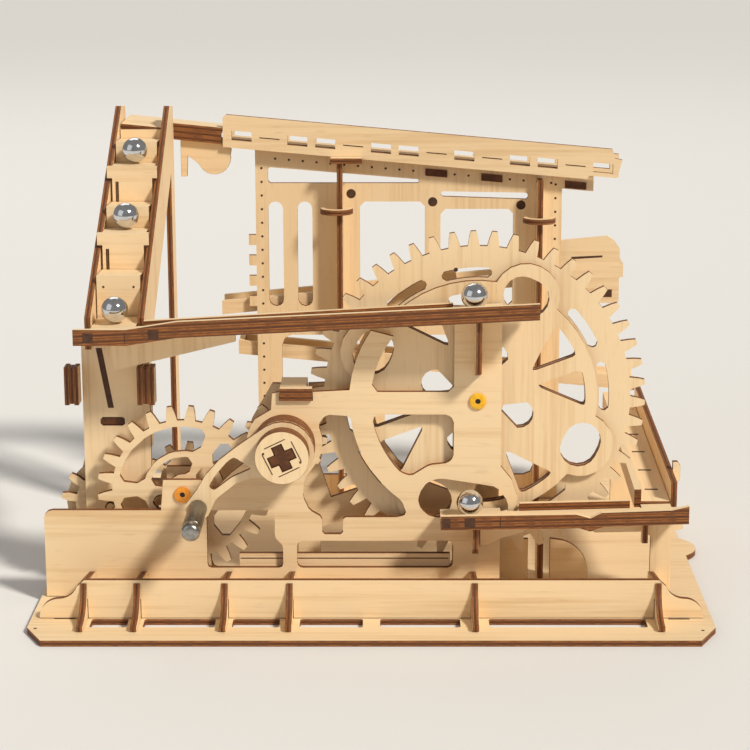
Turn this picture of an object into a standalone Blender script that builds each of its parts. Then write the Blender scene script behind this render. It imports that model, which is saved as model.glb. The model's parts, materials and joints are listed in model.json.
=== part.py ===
"""Wooden marble run with a hand crank, built from thin plywood.

Slotted plates, gears, a stepped ball lift and open tracks stand on one base. All sizes are in millimetres
and become metres where a mesh is made. X runs to the right, Y to the back and Z up. The origin is the middle
of the base plate's underside. Depths are measured back from the base's front edge.
"""

import math

import bmesh
import bpy
from mathutils import Vector

MM = 0.001

# Sheet, balls and clearances
PLY = 2.2
FIT = 0.3
RUN = 0.5
SUNK = 0.1
BALL_DIAMETER = 9.5
BALL_ROOM = 0.9
LANE = 10.6
LIP = 2.2
SIDES = 20

# Base plate
BASE_WIDTH = 239.0
BASE_DEPTH = 206.0
BASE_CORNER = 6.6
BASE_CORNER_DEEP = 13.0
EAR_RADIUS = 14.0
EAR_REACH = 5.0
VENT_DEPTH = 8.4
VENT_FRONT = 13.0
VENT_SPANS = ((-98.0, -85.0), (-79.5, -54.5), (-48.5, -32.0), (-25.0, -3.0), (3.0, 31.0), (41.0, 96.0))

# Skirt and buttresses
SKIRT_DEPTH = 22.0
SKIRT_HEIGHT = 13.8
SKIRT_HALF = 116.5
SKIRT_SCROLL = 14.0
SKIRT_END_HEIGHT = 7.0
BUTTRESS_TOE = 8.0
BUTTRESS_TOE_HEIGHT = 1.6
BUTTRESS_SUNK = 1.0
BUTTRESS_FALL = 3.4
BUTTRESS_PLACES = (-100.7, -82.1, -51.4, -28.7, 36.1, 100.3)

# Gear train: module, teeth, tooth form
MODULE = 2.3
LIFT_TEETH = 50
CRANK_TEETH = 11
IDLER_TEETH = 25
IDLER_PINION_TEETH = 11
STAIR_TEETH = 14
ADDENDUM = 1.0
DEDENDUM = 1.28
TIP_SHARE = 0.24
PITCH_SHARE = 0.43
ROOT_SHARE = 0.62
PINION_ROOT_SHARE = 0.46

# Axles: the crank's place and the directions of the others from it, in degrees
CRANK_X = -31.0
CRANK_Z = 59.8
LIFT_DIRECTION = 12.6
IDLER_DIRECTION = 207.5
STAIR_DIRECTION = 197.0
LIFT_TOOTH_PHASE = -1.9
PIN_RADIUS = 1.5
BUSH_RADIUS = 3.0
BUSH_PROUD = 0.8

# Lift gear: pockets, windows and ring
POCKET_RADIUS = 40.6
POCKET_LONG = 16.5
POCKET_WIDE = 13.3
POCKET_ANGLE = 65.4
POCKETS = 4
RING_RADIUS = 42.6
RING_LOBE = 11.7
DROP_INNER = 9.5
DROP_OUTER = 21.0
DROP_NOSE = 5.2
TRIANGLE_OUTER = 38.4
TRIANGLE_INNER = 21.0
TRIANGLE_START = 20.5
TRIANGLE_ROUND = 2.4
DROP_TURN = 4.0
DROP_TAIL_HALF = 1.2
SPOKE_HALF = 2.6
RIM_SLOT_INNER = 43.4
RIM_SLOT_OUTER = 47.0
RIM_SLOTS = ((18.5, 41.0), (48.5, 69.0))

# Front plate
PLATE_DEPTH = 45.0
PLATE_LEFT = -117.5
PANEL_HEIGHT = 32.3
PANEL_CORNER = 3.0
TAB_HALF = 6.8
TAB_ABOVE_AXLE = 5.4
BAR_HALF = 4.1
BAR_ABOVE_AXLE = -0.8
ARM_HALF = 8.4
GUARD_OUTER = 45.5
GUARD_INNER = 37.9
BOSS_RADIUS = 13.5
SILL_HEIGHT = 10.7
CRANK_WINDOW_LEFT = -59.3
CRANK_WINDOW_STEP = 2.9
LONG_SLOT_HEIGHT = 10.2
PICKUP_HEIGHT = 13.0
PICKUP_LEFT = 16.4
PICKUP_RIGHT = 48.6
CHEEK_REACH = 6.0
SPACER_X = -26.8
SPACER_HALF = 5.7
SPACER_SINK = 3.2
SPACER_PROUD = 1.4
SPACER_STEP = 2.1

# Idler gear
IDLER_RIM = 1.8
IDLER_BAND = 2.4
IDLER_HUB = 6.0
IDLER_WINDOWS = (68.0, 188.0, 308.0)
IDLER_WINDOW_SPAN = 104.0
IDLER_WINDOW_LAG = 4.0
IDLER_OUTER_DEEP = 8.6
IDLER_INNER_STEP = 10.8
IDLER_WINDOW_ROUND = 2.2

# Crank
CRANK_BORE_FIT = 0.4
SLAT_WIDE = 9.0
SLAT_THICK = 3.4
SLAT_ANGLE = 24.0
HUB_RADIUS = 9.4
HUB_PLIES = 3
COLLAR_RADIUS = 11.0
COLLAR_PLIES = 4
COLLAR_STANDOFF = 2.0
HANDLE_REACH = 36.2
HANDLE_DIRECTION = 213.8
PEG_RADIUS = 3.3
PEG_LONG = 29.0
PEG_EASE = 0.9
PEG_GROOVE = 4.4
PEG_GROOVE_HALF = 0.4
ARM_WIDE = 2.4
ARM_BOW = 6.2

# Front track
TRACK_WALL_DEPTH = 29.8
TRACK_LEFT = -102.7
TRACK_CUP_END = -84.5
TRACK_RISE_END = -67.0
TRACK_RIGHT = 58.0
TRACK_CUP_TOP = 104.1
TRACK_RISE_TOP = 106.9
TRACK_RIGHT_TOP = 113.1
TRACK_WALL_HIGH = 5.6
TRACK_GATE = 28.5
TRACK_FLOOR_LEFT = 101.4
TRACK_FALL = 0.058
TRACK_BACK_UP = 1.6

# Ball stairs
STAIR_X = -90.5
STAIR_INSIDE = 16.6
STAIR_START = 47.0
STAIR_FOOT_Z = 104.7
STAIR_SLOPE = 0.61
STAIR_TOP_DEPTH = 150.0
STEP_PITCH = 32.4
FIRST_STEP_DEPTH = 77.8
STEP_EAR = 4.4
STEP_RISER = 17.4
STEP_FALL = 1.2
TREAD_SINK = 0.2
STEP_NECK = 0.8
STEP_REST_LIFT = 7.2
STRINGER_DEEP = 27.0
STRINGER_LEG = 12.0
STRINGER_FRONT_LEG = 7.0
STRINGER_LEG_END = 54.0
FRONT_BOARD_TOP = 93.0
COMB_LAP = 9.0
COMB_DROP = 3.0
COMB_END = 1.0
COMB_NOTCH = 6.0
FRONT_BOARD_LEFT = -104.0
FRONT_BOARD_RIGHT = -80.0
MOVING_RISER = 45.0
LINK_PIN_UP = 3.6
LINK_HALF = 3.0
LINK_PIN_X = -95.2
CRANK_DISC_RIM = 4.2
CRANK_THROW = 12.6
CRANK_PIN_ANGLE = 194.0

# Exit floor and top rail
EXIT_TOP = 160.4
EXIT_FALL = 0.1
RAIL_LEFT = -60.4
RAIL_RIGHT = 99.0
RAIL_AHEAD = 5.0
RAIL_LEFT_Z = 149.7
RAIL_FALL = 0.0885
RAIL_WALL_HIGH = 12.9
RAIL_FLOOR_UP = 3.4
RAIL_SLOT_IN = 3.5
RAIL_SLOT_LONG = 8.0
RAIL_SLOT_HIGH = 3.8
RAIL_SLOT_PITCH = 11.1
RAIL_SLOT_UP = 3.1
RAIL_SLOTS_OPEN = (0, 2, 3, 5, 6, 8, 10, 11, 13)
RAIL_REAR_LOWER = 3.5
RAIL_DROP = 14.0

# Tower behind the gears
TOWER_DEPTH = 168.0
TAIL_AHEAD = 5.4
STRINGER_TAIL = TOWER_DEPTH - TAIL_AHEAD
TOWER_LEFT = -48.0
TOWER_RIGHT = 75.5
TOWER_FOOT = 10.0
TOWER_EDGE = 5.0
POST_DEEP = 8.0
POST_PLACES = (-13.9, 66.3)
COMB_TOOTH = 4.2
COMB_TEETH = 4
COMB_START = 84.0
COMB_REACH = 3.0
TOWER_HEAD = 8.5
TOWER_SILL = 84.0
TOWER_MULLION = 26.6
TOWER_RIGHT_WINDOW = 29.4
TOWER_EAR_REACH = 12.6
TOWER_EAR_HIGH = 6.3
TOWER_SLAT_TOP = 131.2
TOWER_SLAT_HIGH = 2.1
TOWER_SLAT_END = 61.8
TOWER_SLAT_FALL = 1.2
TOWER_LEFT_WINDOW = -6.0
TOWER_LEFT_WINDOW_WIDE = 26.3
TOWER_APRON = 12.0
TOWER_LINTEL = 14.0
TOWER_SASH_END = 18.0
TOWER_SLIT_FALL = 6.5
TOWER_SLIT_PITCH = 11.8
TOWER_SLIT_WIDE = 6.0
POST_BELOW = 3.0

# Zigzag rails behind the tower
ZIG_WALL_UP = 3.4
ZIG_UPPER_LEFT = -62.5
ZIG_UPPER_RIGHT = 101.2
ZIG_UPPER_LEFT_Z = 80.0
ZIG_FALL = 0.095
ZIG_CATCH_LEFT = 71.0
ZIG_CATCH_RIGHT = 99.6
ZIG_CATCH_DOWN = 10.2
ZIG_CATCH_HIGH = 27.7
ZIG_CATCH_CORNER = 5.0
ZIG_LOWER_LEFT = -56.0
ZIG_LOWER_RIGHT = 107.0
ZIG_LOWER_RIGHT_Z = 48.0

# Right rail and tray
SIDE_RAIL_X = 101.5
SIDE_RAIL_FRONT = 47.6
SIDE_RAIL_FRONT_Z = 37.4
SIDE_RAIL_FALL = 0.045
TRAY_LEFT = 24.3
TRAY_RIGHT = 111.4
TRAY_LEFT_Z = 34.5
TRAY_FALL = 0.026
TRAY_WALL_DOWN = 2.4
TRAY_WALL_UP = 2.6
TRAY_REAR_LEFT = 52.6
TRAY_REAR_RIGHT = 92.0
TRAY_POST_LEFT = 100.0
TRAY_POST_WIDE = 7.4
TRAY_STEP = 52.5
SIDE_WALL_UP = 7.0
SIDE_POST_IN = 18.0

# Balls
BALL_ON_TRACK = 35.8
BALL_ON_TRAY = 34.7

# Places worked out from the sizes above
RAIL_DEPTH = TOWER_DEPTH - RAIL_AHEAD
FLOOR = PLY + FIT
PLATE_BACK = PLATE_DEPTH + PLY
RING_DEPTH = PLATE_BACK + 1.2
GEAR_DEPTH = RING_DEPTH + PLY + FIT
REAR_PLATE_DEPTH = PLATE_BACK + BALL_DIAMETER + BALL_ROOM
SECOND_GEAR_DEPTH = REAR_PLATE_DEPTH + PLY + 1.2
STAIR_CRANK_DEPTH = SECOND_GEAR_DEPTH + PLY + 0.8
STUB_LONG = 2.0
LINK_DEPTH = STAIR_CRANK_DEPTH + PLY + STUB_LONG + 0.4
LIFT_DISTANCE = MODULE * (LIFT_TEETH + CRANK_TEETH) / 2
IDLER_DISTANCE = MODULE * (IDLER_TEETH + CRANK_TEETH) / 2
STAIR_DISTANCE = MODULE * (IDLER_PINION_TEETH + STAIR_TEETH) / 2


def toward(start, distance, degrees):
    """The point at a distance and an angle from a start, in a plane."""
    angle = math.radians(degrees)
    return start[0] + distance * math.cos(angle), start[1] + distance * math.sin(angle)


CRANK_AXLE = (CRANK_X, CRANK_Z)
LIFT_AXLE = toward(CRANK_AXLE, LIFT_DISTANCE, LIFT_DIRECTION)
IDLER_AXLE = toward(CRANK_AXLE, IDLER_DISTANCE, IDLER_DIRECTION)
STAIR_AXLE = toward(IDLER_AXLE, STAIR_DISTANCE, STAIR_DIRECTION)


# Planes that an outline is drawn in: each gives world millimetres for a point (u, v) and a level w
def front_plane(u, v, w):
    """Outline in X and Z, thickness along the depth."""
    return u, w - BASE_DEPTH / 2, v


def side_plane(u, v, w):
    """Outline in depth and Z, thickness along X."""
    return w, u - BASE_DEPTH / 2, v


def flat_plane(u, v, w):
    """Outline in X and depth, thickness along Z."""
    return u, v - BASE_DEPTH / 2, w


def sloped_plane(start, height, rise):
    """Like flat_plane, but the sheet lies at a height at X = start and climbs by rise for each millimetre."""
    return lambda u, v, w: (u, v - BASE_DEPTH / 2, height + rise * (u - start) + w)


def climbing_plane(start, height, rise):
    """Like flat_plane, but the sheet climbs by rise for each millimetre of depth behind start."""
    return lambda u, v, w: (u, v - BASE_DEPTH / 2, height + rise * (v - start) + w)


# Outlines
def arc(centre, radius, start, end, steps=None):
    """Points along an arc, from one angle to another in degrees."""
    count = steps or max(2, math.ceil(abs(end - start) / 360 * SIDES * 1.6))
    return [toward(centre, radius, start + (end - start) * i / count) for i in range(count + 1)]


def circle(centre, radius, sides=SIDES):
    """A closed ring of points."""
    return [toward(centre, radius, 360 * i / sides) for i in range(sides)]


def box(left, low, right, high):
    """A rectangle from its two corners."""
    return [(left, low), (right, low), (right, high), (left, high)]


def rounded(left, low, right, high, radius, steps=3):
    """A rectangle with rounded corners."""
    ring = []
    for u, v, start in (
        (right - radius, low + radius, -90),
        (right - radius, high - radius, 0),
        (left + radius, high - radius, 90),
        (left + radius, low + radius, 180),
    ):
        ring += arc((u, v), radius, start, start + 90, steps)
    return ring


def soft_corners(points, radius, steps=2):
    """The same closed outline with each corner cut round by about a radius."""
    ring = []
    for i, corner in enumerate(points):
        here = Vector(corner)
        before = Vector(points[i - 1]) - here
        after = Vector(points[(i + 1) % len(points)]) - here
        reach = min(radius, before.length * 0.45, after.length * 0.45)
        first = here + before.normalized() * reach
        last = here + after.normalized() * reach
        for step in range(steps + 1):
            t = step / steps
            point = first.lerp(here, t).lerp(here.lerp(last, t), t)
            ring.append((point.x, point.y))
    return ring


def turned(points, degrees, centre=(0.0, 0.0)):
    """Points turned about the origin and then moved by a centre."""
    cos, sin = math.cos(math.radians(degrees)), math.sin(math.radians(degrees))
    return [(centre[0] + u * cos - v * sin, centre[1] + u * sin + v * cos) for u, v in points]


# Solids
COLOURS = {
    "ply": ((0.72, 0.52, 0.31), 0.62, 0.0),
    "steel": ((0.75, 0.75, 0.76), 0.12, 1.0),
    "yellow": ((0.95, 0.62, 0.02), 0.4, 0.0),
    "orange": ((0.9, 0.36, 0.03), 0.4, 0.0),
    "dark": ((0.05, 0.045, 0.04), 0.3, 0.0),
}


def finish_of(name, colour):
    """A Principled material in one of the model's colours."""
    base, roughness, metallic = COLOURS[colour]
    material = bpy.data.materials.new(f"{name}_finish")
    material.use_nodes = True
    shader = material.node_tree.nodes["Principled BSDF"]
    shader.inputs["Base Color"].default_value = (*base, 1.0)
    shader.inputs["Roughness"].default_value = roughness
    shader.inputs["Metallic"].default_value = metallic
    return material


def add_object(name, shape, pivot, colour):
    """Puts a bmesh, in millimetres about its pivot, into the scene as a named object."""
    bmesh.ops.recalc_face_normals(shape, faces=shape.faces)
    bmesh.ops.scale(shape, vec=(MM, MM, MM), verts=shape.verts)
    mesh = bpy.data.meshes.new(name)
    shape.to_mesh(mesh)
    shape.free()
    mesh.shade_smooth()
    mesh.set_sharp_from_angle(angle=math.radians(35))
    mesh.materials.append(finish_of(name, colour))
    piece = bpy.data.objects.new(name, mesh)
    piece.location = Vector(pivot) * MM
    bpy.context.collection.objects.link(piece)
    return piece


def prism(name, outline, near, far, plane, holes=(), pivot=(0.0, 0.0, 0.0), colour="ply"):
    """A sheet piece: an outline with holes, between two levels of a plane."""
    shape = bmesh.new()
    edges = []
    for loop in (outline, *holes):
        ring = [shape.verts.new((u, v, 0)) for u, v in loop]
        edges += [shape.edges.new(pair) for pair in zip(ring, ring[1:] + ring[:1])]
    bmesh.ops.triangle_fill(shape, use_beauty=True, use_dissolve=False, edges=edges)
    made = bmesh.ops.extrude_face_region(shape, geom=list(shape.faces))["geom"]
    for item in made:
        if isinstance(item, bmesh.types.BMVert):
            item.co.z = 1
    for vert in shape.verts:
        u, v, side = vert.co
        vert.co = Vector(plane(u, v, far if side else near)) - Vector(pivot)
    return add_object(name, shape, pivot, colour)


def ball(name, x, depth, z):
    """A steel ball with its origin in its middle."""
    shape = bmesh.new()
    bmesh.ops.create_uvsphere(shape, u_segments=14, v_segments=8, radius=BALL_DIAMETER / 2)
    return add_object(name, shape, (x, depth - BASE_DEPTH / 2, z), "steel")


def axis_at(axle, depth):
    """The world point, in millimetres, where an axle crosses a depth."""
    return axle[0], depth - BASE_DEPTH / 2, axle[1]


def gear_outline(teeth, centre, phase, root_share=ROOT_SHARE):
    """A gear's outline: each tooth has a root corner, a pitch point and a tip corner on each side."""
    pitch = MODULE * teeth / 2
    root, tip = pitch - DEDENDUM * MODULE, pitch + ADDENDUM * MODULE
    space = 360 / teeth
    ring = []
    for tooth in range(teeth):
        middle = phase + tooth * space
        for radius, share in ((root, -root_share), (pitch, -PITCH_SHARE), (tip, -TIP_SHARE)):
            ring.append(toward(centre, radius, middle + share * space / 2))
        for radius, share in ((tip, TIP_SHARE), (pitch, PITCH_SHARE), (root, root_share)):
            ring.append(toward(centre, radius, middle + share * space / 2))
    return ring


def spindle(name, axle, stations, colour="ply"):
    """A turned piece on an axle: stations are (depth, radius), from front to back."""
    shape = bmesh.new()
    rings = []
    for depth, radius in stations:
        ring = [(u, depth - stations[0][0], v) for u, v in circle((0, 0), radius)]
        rings.append([shape.verts.new(point) for point in ring])
    for ring, following in zip(rings, rings[1:]):
        for i in range(SIDES):
            j = (i + 1) % SIDES
            shape.faces.new((ring[i], ring[j], following[j], following[i]))
    shape.faces.new(rings[0])
    shape.faces.new(rings[-1])
    return add_object(name, shape, axis_at(axle, stations[0][0]), colour)


def join(piece, *others):
    """Fuses helper solids into a piece and keeps them out of the render."""
    for other in others:
        other.hide_render = True
        other.display_type = "WIRE"
        union = piece.modifiers.new(f"join_{other.name}", "BOOLEAN")
        union.operation = "UNION"
        union.object = other
    return piece


def cross(fit=0.0):
    """The crank shaft's section: two crossed slats, drawn about the crank axle."""
    long, half = SLAT_WIDE / 2 + fit, SLAT_THICK / 2 + fit
    quarter = [(long, -half), (long, half), (half, half)]
    ring = [point for turn in range(4) for point in turned(quarter, 90 * turn)]
    return turned(ring, SLAT_ANGLE, CRANK_AXLE)


def make_base():
    half, middle = BASE_WIDTH / 2, BASE_DEPTH / 2
    ear = half + EAR_REACH - EAR_RADIUS
    bend = math.degrees(math.acos((half - ear) / EAR_RADIUS))
    side = [
        (half - BASE_CORNER, 0),
        (half, BASE_CORNER_DEEP),
        *arc((ear, middle), EAR_RADIUS, -bend, bend),
        (half, BASE_DEPTH - BASE_CORNER_DEEP),
        (half - BASE_CORNER, BASE_DEPTH),
    ]
    vents = [rounded(left, VENT_FRONT, right, VENT_FRONT + VENT_DEPTH, 1.0) for left, right in VENT_SPANS]
    outline = side + [(-x, depth) for x, depth in reversed(side)]
    prism("base_plate", outline, 0, PLY, flat_plane, vents)


def make_skirt():
    """The low board along the front, with scrolled ends, slotted from below for the buttresses."""
    top = FLOOR + SKIRT_HEIGHT
    lap = FLOOR + SKIRT_HEIGHT / 2
    gap = PLY / 2 + FIT
    foot = SKIRT_HALF - SKIRT_END_HEIGHT
    neck = SKIRT_HALF - SKIRT_SCROLL
    end = [
        *arc((foot, FLOOR), SKIRT_END_HEIGHT, 0, 80),
        *arc((foot, top), top - FLOOR - SKIRT_END_HEIGHT, -95, -160),
        (neck - 2, top),
    ]
    outline = end + [(-x, z) for x, z in reversed(end)]
    for place in BUTTRESS_PLACES:
        outline += [(place - gap, FLOOR), (place - gap, lap), (place + gap, lap), (place + gap, FLOOR)]
    prism("front_skirt", outline, SKIRT_DEPTH, SKIRT_DEPTH + PLY, front_plane)


def make_buttresses():
    """Six upright plates with a hollow front edge, slotted from above where they cross the skirt."""
    lap = FLOOR + SKIRT_HEIGHT / 2 - FIT
    near, far = SKIRT_DEPTH - FIT, SKIRT_DEPTH + PLY + FIT
    toe = FLOOR + BUTTRESS_TOE_HEIGHT
    top = FLOOR + SKIRT_HEIGHT - BUTTRESS_SUNK
    back = PLATE_DEPTH - FIT
    hollow = [
        (BUTTRESS_TOE + (near - BUTTRESS_TOE) * across, toe + (top - toe) * up)
        for across, up in arc((0, 1), 1, -90, 0)
    ]
    outline = [
        (BUTTRESS_TOE, FLOOR),
        (back, FLOOR),
        (back, top - BUTTRESS_FALL),
        (far, top),
        (far, lap),
        (near, lap),
        *reversed(hollow),
    ]
    for number, place in enumerate(BUTTRESS_PLACES, 1):
        prism(f"buttress_{number}", outline, place - PLY / 2, place + PLY / 2, side_plane)


def stadium(centre, long, wide, degrees):
    """A slot with round ends, its long way turned from the X axis."""
    straight = (long - wide) / 2
    ring = arc((straight, 0), wide / 2, -90, 90, 8) + arc((-straight, 0), wide / 2, 90, 270, 8)
    return turned(ring, degrees, centre)


def sector(centre, inner, outer, start, end, radius=1.2):
    """A window between two radii and two directions, with rounded corners."""
    ring = arc(centre, outer, start, end, 4) + arc(centre, inner, end, start, 4)
    return soft_corners(ring, radius, 1)


def plate_bores():
    """Bearing holes for the crank, the lift axle and the idler axle, shared by the two bearing plates."""
    bores = [circle(axle, PIN_RADIUS + RUN, 12) for axle in (LIFT_AXLE, IDLER_AXLE)]
    shaft = math.hypot(SLAT_WIDE, SLAT_THICK) / 2
    return bores + [circle(CRANK_AXLE, shaft + CRANK_BORE_FIT)]


def bar_levels():
    """Bottom and top of the bar that runs from the crank boss to the lift axle."""
    middle = LIFT_AXLE[1] + BAR_ABOVE_AXLE
    return middle - BAR_HALF, middle + BAR_HALF


def track_floor_z(x):
    """Top of the front track's floor."""
    return TRACK_FLOOR_LEFT + TRACK_FALL * (x - TRACK_LEFT)


def tray_floor_z(x):
    """Top of the tray's floor."""
    return TRAY_LEFT_Z + TRAY_FALL * (x - TRAY_LEFT)


def make_front_plate():
    axle_x, axle_z = LIFT_AXLE
    low, high = bar_levels()
    left, right = axle_x - ARM_HALF, axle_x + ARM_HALF
    panel = FLOOR + PANEL_HEIGHT
    tab_left, tab_right = IDLER_AXLE[0] - TAB_HALF, IDLER_AXLE[0] + TAB_HALF
    tab = IDLER_AXLE[1] + TAB_ABOVE_AXLE
    notch_left, notch_right = SPACER_X - SPACER_HALF - FIT, SPACER_X + SPACER_HALF + FIT
    sill = FLOOR + SILL_HEIGHT
    landing = tray_floor_z(left) - PLY - FIT
    arm_top = track_floor_z(left) - PLY - FIT
    outline = [
        (PLATE_LEFT, FLOOR),
        (right, FLOOR),
        (right, landing - 3),
        (right + CHEEK_REACH, landing + 1),
        (right + CHEEK_REACH, axle_z - 35),
        (right + CHEEK_REACH - 2, axle_z - 29),
        (right, axle_z - 24),
        (right, arm_top + TRACK_FALL * 2 * ARM_HALF),
        (left, arm_top),
        (left, high + 2),
        (left - 2, high),
        (axle_x - GUARD_INNER + 2.4, high),
        *arc(LIFT_AXLE, GUARD_INNER, 171, 142, 4),
        *arc(LIFT_AXLE, GUARD_OUTER, 146, 175, 4),
        (notch_right, high),
        (notch_right, high - SPACER_SINK),
        (notch_left, high - SPACER_SINK),
        (notch_left, high),
        (notch_left - 2.4, high - 0.6),
        (notch_left - 2.9, high - 6.5),
        *arc(CRANK_AXLE, BOSS_RADIUS, 140, 205, 6),
        (CRANK_X - 19, CRANK_Z - 11),
        (tab_right + 5, panel + 8),
        (tab_right + 1, tab - 3),
        (tab_right, tab),
        (tab_left, tab),
        (tab_left - 1, panel),
        *arc((PLATE_LEFT + PANEL_CORNER, panel - PANEL_CORNER), PANEL_CORNER, 90, 180, 3),
    ]
    crank_window = [
        (CRANK_WINDOW_LEFT, sill),
        (CRANK_X - 1, sill),
        (CRANK_X - 1, sill + 8.7),
        (CRANK_X - 1 - CRANK_WINDOW_STEP, sill + 11),
        (CRANK_X - 1 - CRANK_WINDOW_STEP, panel),
        (CRANK_WINDOW_LEFT, panel),
    ]
    long_slot = rounded(CRANK_X + 4, sill, left, sill + LONG_SLOT_HEIGHT, 2.0)
    left_window = [
        (CRANK_X + 13.1, low - 2),
        (CRANK_X + 15, low),
        *arc(LIFT_AXLE, GUARD_OUTER, 187, 234, 7),
        (axle_x - 25, panel - 1.5),
        (axle_x - 28, panel - 2.6),
        (CRANK_X + 20.6, panel - 2.6),
        (CRANK_X + 20.6, panel - 9),
        (CRANK_X + 13.1, panel - 9),
        (CRANK_X + 13.1, panel - 2.6),
        (CRANK_X + 8.6, panel),
        (CRANK_X + 6.3, panel + 5),
        (CRANK_X + 7, CRANK_Z - 13),
        *arc(CRANK_AXLE, BOSS_RADIUS, -42, 28, 6),
    ]
    right_window = [
        (axle_x - GUARD_INNER + 2.2, low),
        *arc(LIFT_AXLE, GUARD_INNER, 190, 224, 5),
        (axle_x - 23.5, axle_z - 27.6),
        (axle_x - 17, axle_z - 23.5),
        (left - 2, axle_z - 22.8),
        (left, axle_z - 20.6),
        (left, low - 2),
        (left - 2, low),
    ]
    pickup = [
        (PICKUP_LEFT + 2.5, landing + 1.5),
        (PICKUP_LEFT + 5.5, landing),
        (PICKUP_RIGHT, landing),
        (PICKUP_RIGHT, landing + PICKUP_HEIGHT - 7),
        (PICKUP_RIGHT - 4, landing + PICKUP_HEIGHT - 1.6),
        (PICKUP_LEFT + 18.5, landing + PICKUP_HEIGHT),
        (PICKUP_LEFT + 8, landing + PICKUP_HEIGHT + 1.6),
        (PICKUP_LEFT + 3.4, landing + PICKUP_HEIGHT + 0.4),
        (PICKUP_LEFT + 0.4, landing + PICKUP_HEIGHT - 4),
        (PICKUP_LEFT, landing + PICKUP_HEIGHT - 8),
    ]
    holes = [soft_corners(crank_window, 1.6), long_slot, soft_corners(left_window, 0.9, 1)]
    holes += [soft_corners(right_window, 0.9, 1), soft_corners(pickup, 1.2, 1)]
    prism("front_plate", outline, PLATE_DEPTH, PLATE_BACK, front_plane, holes + plate_bores())


def make_rear_plate():
    """The plate behind the gears, which carries their back bearings and closes the balls' path."""
    axle_x, axle_z = LIFT_AXLE
    low, high = bar_levels()
    left, right = axle_x - ARM_HALF, axle_x + ARM_HALF
    notch_left = SPACER_X - SPACER_HALF - FIT
    notch_right = SPACER_X + SPACER_HALF - SPACER_STEP + FIT
    tab_left, tab_right = IDLER_AXLE[0] - TAB_HALF, IDLER_AXLE[0] + TAB_HALF
    meet = math.degrees(math.asin(ARM_HALF / GUARD_INNER))
    leave = math.degrees(math.asin(ARM_HALF / GUARD_OUTER))
    outline = [
        (tab_left, FLOOR),
        (right, FLOOR),
        (right, axle_z - GUARD_OUTER * math.cos(math.radians(leave))),
        (right, high + 3),
        (left, high + 3),
        (left, axle_z - GUARD_INNER * math.cos(math.radians(meet))),
        *arc(LIFT_AXLE, GUARD_INNER, 268 - meet, 100, 14),
        *arc(LIFT_AXLE, GUARD_OUTER, 100, 175, 8),
        (notch_right, high),
        (notch_right, high - SPACER_SINK),
        (notch_left, high - SPACER_SINK),
        (notch_left, high),
        (notch_left - 3, high),
        *arc(CRANK_AXLE, BOSS_RADIUS, 145, 205, 5),
        (tab_right, IDLER_AXLE[1] + TAB_HALF),
        (tab_left, IDLER_AXLE[1] + TAB_HALF),
    ]
    lower = [
        rounded(tab_right + 2, FLOOR + 6, CRANK_X + 4, CRANK_Z - 22, 3.0, 2),
        rounded(CRANK_X + 12, FLOOR + 6, left, axle_z - GUARD_OUTER - 4, 3.0, 2),
    ]
    upper = [
        (CRANK_X + BOSS_RADIUS + 1, low),
        *arc(LIFT_AXLE, GUARD_OUTER, 187, 225, 6),
        (CRANK_X + 16, CRANK_Z - 24),
        (CRANK_X + 12, CRANK_Z - 12),
        (CRANK_X + BOSS_RADIUS + 1, CRANK_Z),
    ]
    holes = [*lower, upper, *plate_bores()]
    far = REAR_PLATE_DEPTH + PLY
    prism("rear_bearing_plate", outline, REAR_PLATE_DEPTH, far, front_plane, holes)
    spacer = [
        (SPACER_X - SPACER_HALF, PLATE_DEPTH - SPACER_PROUD),
        (SPACER_X + SPACER_HALF, PLATE_DEPTH - SPACER_PROUD),
        (SPACER_X + SPACER_HALF, PLATE_BACK + FIT),
        (SPACER_X + SPACER_HALF - SPACER_STEP, PLATE_BACK + FIT),
        (SPACER_X + SPACER_HALF - SPACER_STEP, far + SPACER_PROUD),
        (SPACER_X - SPACER_HALF, far + SPACER_PROUD),
    ]
    seat = high - SPACER_SINK + FIT
    prism("plate_spacer", spacer, seat, seat + 2 * PLY, flat_plane)


def gear_windows():
    """The openings that the lift gear and its ring share: ball pockets, drops by the hub, triangle pairs."""
    windows = []
    spoke = math.degrees(math.asin(SPOKE_HALF / TRIANGLE_OUTER))
    inner_spoke = math.degrees(math.asin(SPOKE_HALF / TRIANGLE_INNER))
    half = 180 / POCKETS - TRIANGLE_START
    for turn in range(POCKETS):
        angle = POCKET_ANGLE + turn * 360 / POCKETS
        pocket = toward(LIFT_AXLE, POCKET_RADIUS, angle)
        windows.append(stadium(pocket, POCKET_LONG, POCKET_WIDE, angle + 90))
        nose = (DROP_OUTER - DROP_NOSE, 0)
        tail = [(DROP_INNER, -DROP_TAIL_HALF), (DROP_INNER, DROP_TAIL_HALF)]
        drop = [tail[0], *arc(nose, DROP_NOSE, -75, 75, 6), tail[1]]
        windows.append(turned(drop, angle + DROP_TURN, LIFT_AXLE))
        middle = angle + 180 / POCKETS
        for side in (-1, 1):
            rim = arc((0, 0), TRIANGLE_OUTER, side * spoke, side * half, 4)
            corner = toward((0, 0), TRIANGLE_INNER, side * inner_spoke)
            triangle = soft_corners([*rim, corner], TRIANGLE_ROUND)
            windows.append(turned(triangle, middle, LIFT_AXLE))
    return windows


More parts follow.
